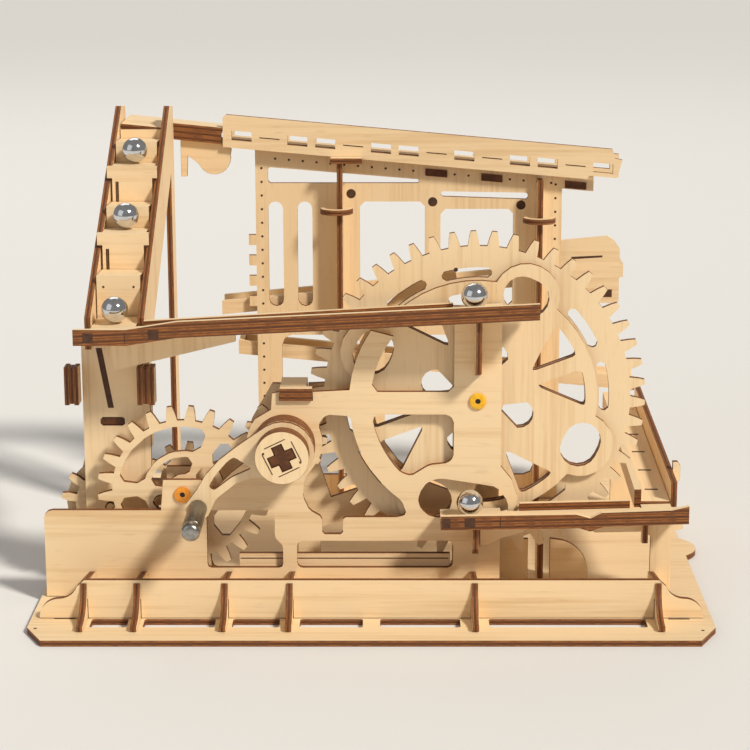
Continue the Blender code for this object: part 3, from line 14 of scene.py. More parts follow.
import bmesh
import bpy
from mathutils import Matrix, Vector


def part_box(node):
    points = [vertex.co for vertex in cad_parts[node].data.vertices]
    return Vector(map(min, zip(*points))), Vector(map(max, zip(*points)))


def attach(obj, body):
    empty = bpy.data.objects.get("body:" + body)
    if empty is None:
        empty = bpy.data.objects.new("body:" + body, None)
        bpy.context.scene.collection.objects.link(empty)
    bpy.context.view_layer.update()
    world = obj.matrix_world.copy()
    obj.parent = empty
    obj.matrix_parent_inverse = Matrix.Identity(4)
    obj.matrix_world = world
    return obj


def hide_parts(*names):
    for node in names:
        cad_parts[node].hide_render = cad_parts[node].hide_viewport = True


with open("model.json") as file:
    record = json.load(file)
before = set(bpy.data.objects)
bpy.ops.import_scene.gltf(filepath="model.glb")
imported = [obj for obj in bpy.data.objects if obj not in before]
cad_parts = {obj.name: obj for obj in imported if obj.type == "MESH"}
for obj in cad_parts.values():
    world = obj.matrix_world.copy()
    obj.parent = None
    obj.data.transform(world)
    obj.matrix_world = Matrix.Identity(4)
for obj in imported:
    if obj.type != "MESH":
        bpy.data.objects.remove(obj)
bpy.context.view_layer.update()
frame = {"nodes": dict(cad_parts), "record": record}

LOG = logging.getLogger("marble_run")

MM = 0.001
PLY = 2.2
BASE_DEPTH = 206.0

EASED_EDGE = 0.12
EASED_FROM_DEGREES = 40.0
SHARP_FROM_DEGREES = 35.0
ALL_SMOOTH_DEGREES = 180.0
MERGE_ANGLE = 0.01
MARK_BEFORE = 0.04
MARK_PAST = 0.03
PATTERN_SHIFT = (1.0, 1.7, 0.6)
BLACK = (0.0, 0.0, 0.0)

Point = tuple[float, float]
Ring = Sequence[Point]
Place = tuple[float, float, float]
Colour = tuple[float, float, float]
Socket = bpy.types.NodeSocket
Value = Socket | float | Sequence[float]
Piece = bpy.types.Object
Material = bpy.types.Material

BODIES = frame["record"]["behaviour"]["bodies"]
BODY_OF = {node: body for body, nodes in BODIES.items() for node in nodes}


class Sheet(Enum):
    """How a piece is cut from sheet: the axes that its veneered faces point along.

    Every other side is a cut that the laser scorched.
    """

    FRONT = (1,)
    SIDE = (0,)
    FLAT = (2,)
    STEP = (1, 2)
    GUTTER = (0, 2)
    END_GRAIN = ()


class Grain(Enum):
    """The axis that the veneer's grain runs along."""

    ACROSS = 0
    BACKWARD = 1
    UPRIGHT = 2


# Shader and mesh helpers
class Recipe:
    """A Principled material that is put together from short steps."""

    def __init__(self, name: str) -> None:
        """Starts a material under a name."""
        self.material = bpy.data.materials.new(name)
        self.material.use_nodes = True
        self.tree = self.material.node_tree
        self.shader = self.tree.nodes["Principled BSDF"]
        place = self.add("ShaderNodeTexCoord")
        self.here = place.outputs["Object"]
        self.normal = place.outputs["Normal"]

    def add(self, kind: str, **settings: object) -> bpy.types.Node:
        """Adds a node of a kind and sets its attributes."""
        node = self.tree.nodes.new(kind)
        for key, value in settings.items():
            setattr(node, key, value)
        return node

    def feed(self, socket: Socket, value: Value) -> None:
        """Links an output into an input, or sets the input to a number or vector."""
        if isinstance(value, Socket):
            self.tree.links.new(value, socket)
        else:
            socket.default_value = value

    def calc(self, operation: str, *values: Value) -> Socket:
        """The result of one Math node, from outputs or numbers."""
        node = self.add("ShaderNodeMath", operation=operation)
        for socket, value in zip(node.inputs, values):
            self.feed(socket, value)
        return node.outputs[0]

    def stretched(self, scale: Sequence[float], shift: float) -> Socket:
        """The place scaled along each axis and shifted, so that no two pieces share a pattern."""
        node = self.add("ShaderNodeMapping")
        self.feed(node.inputs["Vector"], self.here)
        node.inputs["Scale"].default_value = scale
        node.inputs["Location"].default_value = [shift * share for share in PATTERN_SHIFT]
        return node.outputs[0]

    def noise(self, vector: Socket, scale: float, detail: float = 2.0, rough: float = 0.5) -> Socket:
        """A noise texture's value, with some detail whose strength is rough."""
        node = self.add("ShaderNodeTexNoise")
        self.feed(node.inputs["Vector"], vector)
        node.inputs["Scale"].default_value = scale
        node.inputs["Detail"].default_value = detail
        node.inputs["Roughness"].default_value = rough
        return node.outputs[0]

    def ramp(self, value: Socket, stops: Sequence[tuple[float, Colour]]) -> Socket:
        """A colour ramp.

        Args:
            value: What runs along the ramp.
            stops: Positions and their colours, in order.

        Returns:
            The colour.
        """
        node = self.add("ShaderNodeValToRGB")
        elements = node.color_ramp.elements
        while len(elements) < len(stops):
            elements.new(1.0)
        for element, (position, colour) in zip(elements, stops):
            element.position = position
            element.color = (*colour, 1.0)
        self.feed(node.inputs[0], value)
        return node.outputs["Color"]

    def blend(self, share: Socket, first: Value, second: Value) -> Socket:
        """Two colours mixed by the second one's share."""
        node = self.add("ShaderNodeMix", data_type="RGBA")
        colours = [socket for socket in node.inputs if socket.type == "RGBA"]
        self.feed(node.inputs["Factor"], share)
        for socket, value in zip(colours, (first, second)):
            self.feed(socket, value if isinstance(value, Socket) else (*value, 1.0))
        return next(socket for socket in node.outputs if socket.type == "RGBA")

    def finish(self, inputs: dict[str, Value]) -> Material:
        """Feeds the shader's named inputs and gives the material."""
        for name, value in inputs.items():
            self.feed(self.shader.inputs[name], value)
        return self.material

    def between(self, value: Socket, low: float, high: float) -> Socket:
        """A value from 0 to 1 spread from low to high."""
        return self.calc("MULTIPLY_ADD", value, high - low, low)

    def relief(self, height: Socket, depth: float, strength: float) -> None:
        """Bump from a height between 0 and 1, whose depth is in metres."""
        node = self.add("ShaderNodeBump")
        node.inputs["Strength"].default_value = strength
        node.inputs["Distance"].default_value = depth
        self.feed(node.inputs["Height"], height)
        self.feed(self.shader.inputs["Normal"], node.outputs[0])


def place_in(sheet: Sheet, u: float, v: float, w: float) -> Vector:
    """The place of an outline's point.

    Args:
        sheet: The plane of the outline.
        u: The point's first coordinate in that plane: depth for a side sheet, X for the others.
        v: Its second coordinate: depth for a flat sheet, Z for the others.
        w: The level across the plane.

    Returns:
        The place in metres.
    """
    if sheet is Sheet.SIDE:
        point = (w, u - BASE_DEPTH / 2, v)
    elif sheet is Sheet.FLAT:
        point = (u, v - BASE_DEPTH / 2, w)
    else:
        point = (u, w - BASE_DEPTH / 2, v)
    return Vector(point) * MM


def toward(start: Point, distance: float, degrees: float) -> Point:
    """The point at a distance and an angle from a start."""
    angle = math.radians(degrees)
    return start[0] + distance * math.cos(angle), start[1] + distance * math.sin(angle)


def arc(centre: Point, radius: float, start: float, end: float, steps: int = 12) -> list[Point]:
    """Points along an arc, from one angle to another in degrees."""
    return [toward(centre, radius, start + (end - start) * i / steps) for i in range(steps + 1)]


def circle(centre: Point, radius: float, sides: int = 24) -> list[Point]:
    """A closed ring of points."""
    return arc(centre, radius, 0, 360, sides)[:-1]


def slab(left: float, low: float, right: float, high: float) -> list[Point]:
    """A rectangle from its two corners."""
    return [(left, low), (right, low), (right, high), (left, high)]


def rungs(start: float, end: float, step: float) -> list[float]:
    """Evenly spaced values from a start, up to an end that isn't reached."""
    return [start + step * i for i in range(math.ceil((end - start) / step))]


def turned_about(points: Iterable[Point], centre: Point, degrees: float) -> list[Point]:
    """Points drawn about the origin, turned and moved to a centre."""
    cos, sin = math.cos(math.radians(degrees)), math.sin(math.radians(degrees))
    return [(centre[0] + u * cos - v * sin, centre[1] + u * sin + v * cos) for u, v in points]


def new_piece(name: str, shape: bmesh.types.BMesh, sharp: float = SHARP_FROM_DEGREES) -> Piece:
    """Turns a bmesh, in metres, into a named object in the scene.

    Args:
        name: The piece's name.
        shape: The mesh; it is freed.
        sharp: The angle in degrees over which an edge stays sharp.

    Returns:
        The object.
    """
    bmesh.ops.recalc_face_normals(shape, faces=shape.faces)
    mesh = bpy.data.meshes.new(name)
    shape.to_mesh(mesh)
    shape.free()
    mesh.shade_smooth()
    mesh.set_sharp_from_angle(angle=math.radians(sharp))
    piece = bpy.data.objects.new(name, mesh)
    bpy.context.scene.collection.objects.link(piece)
    return piece


def cut_sheet(
    name: str,
    outline: Ring,
    near: float,
    far: float,
    sheet: Sheet,
    holes: Sequence[Ring] = (),
    bevel: float = EASED_EDGE,
) -> Piece:
    """A piece cut from sheet: an outline with holes between two levels, its edges eased.

    Args:
        name: The piece's name.
        outline: The outer ring, in the sheet's own plane.
        near: The first level.
        far: The second level.
        sheet: The plane of the cut.
        holes: Rings left out.
        bevel: Width of the eased edge, or 0 for none.

    Returns:
        The object.
    """
    shape = bmesh.new()
    edges = []
    for loop in (outline, *holes):
        ring = [shape.verts.new((u, v, 0)) for u, v in loop]
        edges += [shape.edges.new(pair) for pair in zip(ring, ring[1:] + ring[:1])]
    bmesh.ops.triangle_fill(shape, use_beauty=True, use_dissolve=False, edges=edges)
    bmesh.ops.dissolve_limit(shape, angle_limit=MERGE_ANGLE, verts=shape.verts, edges=shape.edges)
    for item in bmesh.ops.extrude_face_region(shape, geom=list(shape.faces))["geom"]:
        if isinstance(item, bmesh.types.BMVert):
            item.co.z = 1
    for vert in shape.verts:
        vert.co = place_in(sheet, vert.co.x, vert.co.y, far if vert.co.z else near)
    piece = new_piece(name, shape)
    if bevel:
        eased = piece.modifiers.new("eased_edges", "BEVEL")
        eased.width = bevel * MM
        eased.segments = 2
        eased.limit_method = "ANGLE"
        eased.angle_limit = math.radians(EASED_FROM_DEGREES)
    return piece


def turned_piece(name: str, axle: Point, stations: Ring, sides: int = 64) -> Piece:
    """A piece turned on a lathe about an axle that runs front to back.

    Args:
        name: The piece's name.
        axle: The axle's X and Z.
        stations: (depth, radius) pairs, along the profile. A radius of 0 closes an end.
        sides: Points round the axle.

    Returns:
        The object.
    """
    shape = bmesh.new()
    rings = []
    for depth, radius in stations:
        ring = circle(axle, radius, sides) if radius else [axle]
        rings.append([shape.verts.new(place_in(Sheet.FRONT, u, v, depth)) for u, v in ring])
    for ring, following in zip(rings, rings[1:]):
        for i in range(sides):
            j = i + 1
            corners = [ring[i % len(ring)], ring[j % len(ring)]]
            corners += [following[j % len(following)], following[i % len(following)]]
            shape.faces.new(list(dict.fromkeys(corners)))
    for ring in (rings[0], rings[-1]):
        if len(ring) > 2:
            shape.faces.new(ring)
    return new_piece(name, shape)


def settle(piece: Piece, body: str, finish: Material) -> Piece:
    """Makes a piece ride on a body and gives it its finish."""
    piece.data.materials.append(finish)
    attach(piece, body)
    return piece


def middle_of(node: str) -> Vector:
    """The middle of a CAD node's box, in metres."""
    low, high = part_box(node)
    return (Vector(low) + Vector(high)) / 2


def repaint(node: str, finish: Material) -> None:
    """Gives a CAD node another material."""
    piece = frame["nodes"][node]
    if not piece.material_slots:
        piece.data.materials.append(finish)
    for spot in piece.material_slots:
        spot.material = finish


# Finishes
@dataclass(frozen=True)
class Birch:
    """Birch plywood: pale sanded veneer with fine grain, and cuts that the laser browned in layers."""

    pale: Colour = (0.87, 0.655, 0.395)
    tan: Colour = (0.74, 0.51, 0.27)
    fleck: Colour = (0.52, 0.34, 0.17)
    amber: Colour = (0.33, 0.118, 0.030)
    brown: Colour = (0.15, 0.052, 0.016)
    char: Colour = (0.045, 0.016, 0.007)
    along: float = 16.0
    across: float = 620.0
    wide: float = 70.0
    streak_share: float = 0.55
    band_share: float = 0.45
    fleck_share: Colour = (0.22, 0.22, 0.22)
    patch_share: Colour = (0.85, 0.85, 0.85)
    scorch: float = 260.0
    wander: float = 0.16
    facing: float = 0.8
    smooth: float = 0.48
    rough: float = 0.72
    shine: float = 0.35
    relief_deep: float = 0.00012
    relief_strong: float = 0.35
    seed_step: float = 3.17

    def veneer(self, recipe: Recipe, grain: Grain, shift: float) -> tuple[Socket, Socket]:
        """The sanded faces: broad bands, fine streaks along the grain and short dark pores.

        Returns:
            The colour, and the streaks on their own.
        """
        fine, broad, pores = [self.across] * 3, [self.wide] * 3, [self.across * 1.6] * 3
        fine[grain.value] = self.along
        broad[grain.value] = self.along / 3
        pores[grain.value] = self.along * 7
        streak = recipe.noise(recipe.stretched(fine, shift), 1.0, 4.0, 0.6)
        band = recipe.noise(recipe.stretched(broad, shift + 5), 1.0, 2.0, 0.5)
        pore = recipe.noise(recipe.stretched(pores, shift + 9), 1.0, 1.0, 0.4)
        streaked = recipe.calc("MULTIPLY", streak, self.streak_share)
        banded = recipe.calc("MULTIPLY", band, self.band_share)
        stops = [(0.33, self.tan), (0.50, self.pale), (0.72, self.pale)]
        plain = recipe.ramp(recipe.calc("ADD", streaked, banded), stops)
        flecked = recipe.ramp(pore, [(0.66, BLACK), (0.78, self.fleck_share)])
        return recipe.blend(flecked, plain, self.fleck), streak

    def cut(self, recipe: Recipe, layers: Vector, start: float) -> tuple[Socket, Socket]:
        """The laser's cuts: amber plies between charred glue lines, browner in patches.

        Returns:
            The colour, and the scorching on its own.
        """
        through = recipe.add("ShaderNodeVectorMath", operation="DOT_PRODUCT")
        recipe.feed(through.inputs[0], recipe.here)
        through.inputs[1].default_value = layers
        depth = recipe.calc("SUBTRACT", through.outputs["Value"], start)
        level = recipe.calc("DIVIDE", depth, PLY * MM)
        scorch = recipe.noise(recipe.here, self.scorch, 3.0, 0.6)
        wavy = recipe.calc("MULTIPLY_ADD", scorch, self.wander, -self.wander / 2)
        stops = [(0.0, self.char), (0.09, self.amber), (0.25, self.amber), (0.36, self.char)]
        stops += [(0.62, self.brown), (0.72, self.amber), (0.91, self.amber), (1.0, self.char)]
        stripes = recipe.ramp(recipe.calc("FRACT", recipe.calc("ADD", level, wavy)), stops)
        patchy = recipe.ramp(scorch, [(0.38, BLACK), (0.66, self.patch_share)])
        return recipe.blend(patchy, stripes, self.brown), scorch

    def material(
        self, name: str, sheet: Sheet, grain: Grain, layers: Vector, start: float, seed: int
    ) -> Material:
        """The finish for one piece.

        Args:
            name: The material's name.
            sheet: Which of the piece's sides are veneer.
            grain: The way of the grain.
            layers: The direction through the layers, as a unit vector.
            start: Where the first sheet begins along that direction, in metres.
            seed: A number that no other piece has.

        Returns:
            The material.
        """
        recipe = Recipe(name)
        veneer, streak = self.veneer(recipe, grain, seed * self.seed_step)
        colour, scorch = self.cut(recipe, layers, start)
        if sheet.value:
            split = recipe.add("ShaderNodeSeparateXYZ")
            recipe.feed(split.inputs[0], recipe.normal)
            turns = [recipe.calc("ABSOLUTE", split.outputs[axis]) for axis in sheet.value]
            share, *others = [recipe.calc("GREATER_THAN", turn, self.facing) for turn in turns]
            for other in others:
                share = recipe.calc("MAXIMUM", share, other)
            colour = recipe.blend(share, colour, veneer)
        height = recipe.calc("ADD", streak, recipe.calc("MULTIPLY", scorch, 0.5))
        recipe.relief(height, self.relief_deep, self.relief_strong)
        roughness = recipe.between(streak, self.smooth, self.rough)
        inputs = {"Base Color": colour, "Roughness": roughness, "Specular IOR Level": self.shine}
        return recipe.finish(inputs)


@dataclass(frozen=True)
class PolishedSteel:
    """A ball's mirror, with the faintest haze of handling."""

    colour: Colour = (0.72, 0.72, 0.73)
    dimmed: float = 0.86
    smooth: float = 0.06
    hazy: float = 0.17
    haze: float = 420.0
    skin: float = 900.0

    def material(self, name: str) -> Material:
        """The finish, under a name."""
        recipe = Recipe(name)
        haze = recipe.noise(recipe.here, self.haze, 3.0, 0.6)
        dim = tuple(self.dimmed * part for part in self.colour)
        colour = recipe.ramp(haze, [(0.3, dim), (0.6, self.colour)])
        recipe.relief(recipe.noise(recipe.here, self.skin, 2.0), 0.00002, 0.08)
        roughness = recipe.between(haze, self.smooth, self.hazy)
        return recipe.finish({"Base Color": colour, "Roughness": roughness, "Metallic": 1.0})


@dataclass(frozen=True)
class Moulding:
    """Moulded plastic or dark metal: one colour with a little mottling and a fine skin."""

    colour: Colour
    shade: Colour
    metallic: float = 0.0
    smooth: float = 0.28
    rough: float = 0.46
    mottle: float = 520.0
    skin: float = 1500.0

    def material(self, name: str) -> Material:
        """The finish, under a name."""
        recipe = Recipe(name)
        mottle = recipe.noise(recipe.here, self.mottle, 3.0, 0.6)
        colour = recipe.ramp(mottle, [(0.36, self.shade), (0.6, self.colour)])
        recipe.relief(recipe.noise(recipe.here, self.skin, 2.0), 0.00003, 0.25)
        roughness = recipe.between(mottle, self.smooth, self.rough)
        return recipe.finish({"Base Color": colour, "Roughness": roughness, "Metallic": self.metallic})


YELLOW_PLASTIC = Moulding((0.93, 0.52, 0.02), (0.80, 0.40, 0.01))
ORANGE_PLASTIC = Moulding((0.90, 0.36, 0.03), (0.76, 0.26, 0.02))
# Painted shade: a near-black finish put inside the axle heads' bores and the screw head's cross recess,
# standing for the shade in those hollows.
PAINTED_HOLLOW_SHADE = Moulding((0.020, 0.016, 0.014), (0.012, 0.010, 0.009), rough=0.7)
GUN_METAL = Moulding((0.17, 0.155, 0.135), (0.10, 0.09, 0.078), metallic=0.85, smooth=0.22, rough=0.38)
SCREW_METAL = Moulding((0.42, 0.40, 0.37), (0.30, 0.285, 0.26), metallic=1.0, smooth=0.2, rough=0.34)
# Dark marks: burnt colour for engraved lines, and painted shade standing for the insides of small holes,
# slots, notches and windows that are not cut.
BURN_AND_HOLE_SHADE = Moulding((0.085, 0.032, 0.012), (0.05, 0.018, 0.008), smooth=0.6, rough=0.8)


@dataclass
class SubAssembly:
    """Something that is built and dressed as one, from one stock of plywood."""

    wood: Birch = field(default_factory=Birch)
    cuts: int = 0

    def finish_for(
        self, name: str, sheet: Sheet, grain: Grain, low: Vector, slope: float = 0.0
    ) -> Material:
        """A plywood finish whose layers start at a piece's lowest corner.

        Args:
            name: The piece's name.
            sheet: How it is cut.
            grain: The way of its grain.
            low: The lowest corner of the piece's box, in metres.
            slope: How much a flat sheet climbs for each millimetre of X.

        Returns:
            The material.
        """
        self.cuts += 1
        axis = sheet.value[-1] if sheet.value else 1
        layers = Vector((0.0, 0.0, 0.0))
        layers[axis] = 1.0
        if slope:
            layers = Vector((-slope, 0.0, 1.0)).normalized()
        seed = sum(ord(letter) for letter in name) % 211 + self.cuts
        return self.wood.material(f"{name}_birch", sheet, grain, layers, layers.dot(low), seed)

    def dress(
        self, nodes: Iterable[str], sheet: Sheet, grain: Grain = Grain.ACROSS, slope: float = 0.0
    ) -> None:
        """Gives CAD nodes a plywood finish each.

        Args:
            nodes: The nodes.
            sheet: How they are cut.
            grain: The way of their grain.
            slope: How much a flat sheet climbs for each millimetre of X.
        """
        for node in nodes:
            low, high = (Vector(corner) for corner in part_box(node))
            if slope < 0:
                low.x = high.x
            repaint(node, self.finish_for(node, sheet, grain, low, slope))
            LOG.info("dressed %s", node)

    def board(
        self,
        name: str,
        outline: Ring,
        near: float,
        sheet: Sheet = Sheet.FRONT,
        grain: Grain = Grain.ACROSS,
        thick: float = PLY,
        holes: Sequence[Ring] = (),
        body: str = "frame",
    ) -> Piece:
        """Adds a small plywood board.

        Args:
            name: The board's name.
            outline: Its outer ring.
            near: Its first level.
            sheet: The plane of the cut.
            grain: The way of its grain.
            thick: Its thickness.
            holes: Rings left out.
            body: The body that it rides on.

        Returns:
            The board.
        """
        piece = cut_sheet(name, outline, near, near + thick, sheet, holes)
        low = place_in(sheet, min(u for u, _ in outline), min(v for _, v in outline), near)
        LOG.info("board %s", name)
        return settle(piece, body, self.finish_for(name, sheet, grain, low))

    def tenon(self, name: str, ring: Ring, near: float, far: float) -> None:
        """Adds the browned end of a tenon that shows in a board facing the front."""
        finish = self.finish_for(name, Sheet.END_GRAIN, Grain.ACROSS, place_in(Sheet.FRONT, *ring[0], near))
        settle(cut_sheet(name, ring, near, far, Sheet.FRONT), "frame", finish)

    def burn_and_shade_mark(
        self,
        name: str,
        ring: Ring,
        face: float,
        sheet: Sheet = Sheet.FRONT,
        before: float = MARK_BEFORE,
        past: float = MARK_PAST,
        body: str = "frame",
    ) -> None:
        """Adds a thin dark mark. Engraved lines are burnt; on small holes, slots, notches and windows the
        dark is painted shade that stands for their insides.

        Args:
            name: The mark's name.
            ring: Its outline.
            face: The level of the surface that it lies on.
            sheet: The plane of that surface.
            before: How far below that level it starts.
            past: How far above that level it ends.
            body: The body that it rides on.
        """
        mark = cut_sheet(name, ring, face - before, face + past, sheet, bevel=0.0)
        settle(mark, body, BURN_AND_HOLE_SHADE.material(f"{name}_burn_and_shade"))


@dataclass
class Carcass(SubAssembly):
    """The base plate, the skirt with its buttresses, and the two plates that carry the axles."""

    front: float = 45.0
    floor: float = 2.2
    slot_long: float = 7.5
    slot_wide: float = 0.9
    dot: float = 0.6
    foot_depth: float = 60.4
    foot_top: float = 19.0
    fin_left: float = 60.4
    fin_long: float = 12.0
    shelf_front: float = 47.5

    def build(self) -> None:
        """Dresses the plates and adds their marks, ribs and brackets."""
        self.dress(("base_plate",), Sheet.FLAT)
        self.dress(("front_skirt", "front_plate", "rear_bearing_plate"), Sheet.FRONT)
        self.dress((f"buttress_{number}" for number in range(1, 7)), Sheet.SIDE, Grain.UPRIGHT)
        self.dress(("plate_spacer",), Sheet.FLAT)
        self.base_marks()
        self.ribs()
        self.lower_boards()

    def base_marks(self) -> None:
        """Thin slots and dots in the base beside the skirt's ends, as dark marks; in the slots the dark is
        painted shade that stands for the openings.
        """
        rings = {
            f"base_slot_{name}": slab(left, depth, left + self.slot_long, depth + self.slot_wide)
            for name, left, depth in (("left", -111.5, 21.6), ("right", 104.0, 21.0))
        }
        for name, x, depth in (("left", -116.5, 12.0), ("right", 114.6, 10.0), ("back", 113.0, 38.0)):
            rings[f"base_dot_{name}"] = circle((x, depth), self.dot, 12)
        for name, ring in rings.items():
            self.burn_and_shade_mark(name, ring, self.floor, Sheet.FLAT, before=0.05, past=0.04)

    def ribs(self) -> None:
        """The upright ribs between the front plate and the two front lanes."""
        back = self.front - 0.1
        upper = [(32.8, 95.0), (36.0, 87.0), (back, 84.5), (back, 106.6), (32.8, 106.6)]
        self.board("lane_rib_upper", upper, 36.2, Sheet.SIDE, Grain.UPRIGHT)
        lower = [(33.0, 24.0), (36.0, 21.4), (back, 21.4), (back, 32.0), (33.0, 32.0)]
        self.board("lane_rib_lower", lower, 35.6, Sheet.SIDE, Grain.UPRIGHT)

    def lower_boards(self) -> None:
        """The boards that show under the tray and behind the long slot."""
        near = self.front - 0.2 - PLY
        left = [(38.6, 32.2), (55.8, 32.2), (55.8, 28.2), (51.5, 26.4), (46.5, 25.2)]
        self.board("tray_bracket_left", left + [(42.0, 22.6), (38.6, 22.0)], near)
        right = [(76.5, 33.0), (98.5, 33.4), (98.5, 27.6), (80.0, 27.2), (78.2, 28.0), (76.5, 31.0)]
        self.board("tray_bracket_right", right, near)
        post = [(40.0, 24.0), (44.6, 23.0), (44.6, 33.0), (40.0, 33.0)]
        self.board("tray_bracket_side", post, 96.4, Sheet.SIDE, Grain.UPRIGHT, thick=2.0)
        self.board("foot_board", slab(46.6, self.floor, 57.0, self.foot_top), self.foot_depth)
        curve = arc((66.5, self.floor + 4.2), 12.5, -8, 84, 10)
        quarter = [(65.0, self.floor), (79.0, self.floor), *curve, (65.0, 19.2)]
        self.board("foot_quarter", quarter, self.foot_depth)
        fin = slab(self.foot_depth, self.floor, self.foot_depth + self.fin_long, self.foot_top)
        self.board("foot_fin", fin, self.fin_left, Sheet.SIDE, Grain.UPRIGHT)
        self.board("slot_board", slab(-48.0, 11.0, 28.0, 17.8), self.shelf_front)
        self.burn_and_shade_mark("slot_board_line", slab(-47.5, 15.8, 27.5, 16.2), self.shelf_front)


@dataclass
class LiftWheel(SubAssembly):
    """The big toothed wheel, the ring on its front and its axle with the yellow head."""

    axle: Point = (37.46, 75.1)
    head: float = 44.2
    back: float = 60.3
    face: float = 50.9
    hole: float = 0.75

    def build(self) -> None:
        """Dresses the wheel and turns its axle."""
        self.dress(("lift_gear", "lift_gear_ring"), Sheet.FRONT, Grain.UPRIGHT)
        bushed_axle("lift_axle", "lift_wheel", self.axle, self.head, self.back, YELLOW_PLASTIC)
        # The pin holes are dark discs: painted shade standing for the holes' insides.
        for number, (x, z) in enumerate(((64.3, 61.8), (10.0, 86.8), (29.6, 121.2)), 1):
            ring = circle((x, z), self.hole, 14)
            name = f"wheel_pin_hole_{number}"
            self.burn_and_shade_mark(name, ring, self.face, before=0.06, past=0.05, body="lift_wheel")


def bushed_axle(
    node: str, body: str, axle: Point, head: float, back: float, plastic: Moulding
) -> None:
    """An axle with a moulded head: a flange with an eased rim, a small bore in it, and the pin behind.

    Args:
        node: The CAD node that it stands for.
        body: The body that it rides on.
        axle: The axle's X and Z.
        head: The depth of the head's front face.
        back: The depth of the pin's far end.
        plastic: Its finish.
    """
    flange, pin, bore = 3.0, 1.5, 0.95
    profile = [(head + 0.7, 0.0), (head + 0.7, bore), (head + 0.1, bore), (head, bore + 0.1)]
    profile += [(head, flange - 0.35), (head + 0.1, flange - 0.1), (head + 0.3, flange)]
    profile += [(head + 0.5, flange), (head + 0.5, pin), (back - 0.2, pin), (back, pin - 0.2), (back, 0.0)]
    piece = turned_piece(f"{node}_turned", axle, profile, 48)
    settle(piece, body, plastic.material(f"{node}_plastic"))
    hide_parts(node)
    # A near-black disc inside the bore: painted shade for the hollow.
    mouth, bottom, inner = head + 0.55, head + 0.68, bore - 0.02
    profile = [(mouth, 0.0), (mouth, inner), (bottom, inner), (bottom, 0.0)]
    bore_shade = turned_piece(f"{node}_bore", axle, profile, 32)
    settle(bore_shade, body, PAINTED_HOLLOW_SHADE.material(f"{node}_shadow"))
    LOG.info("turned %s", node)


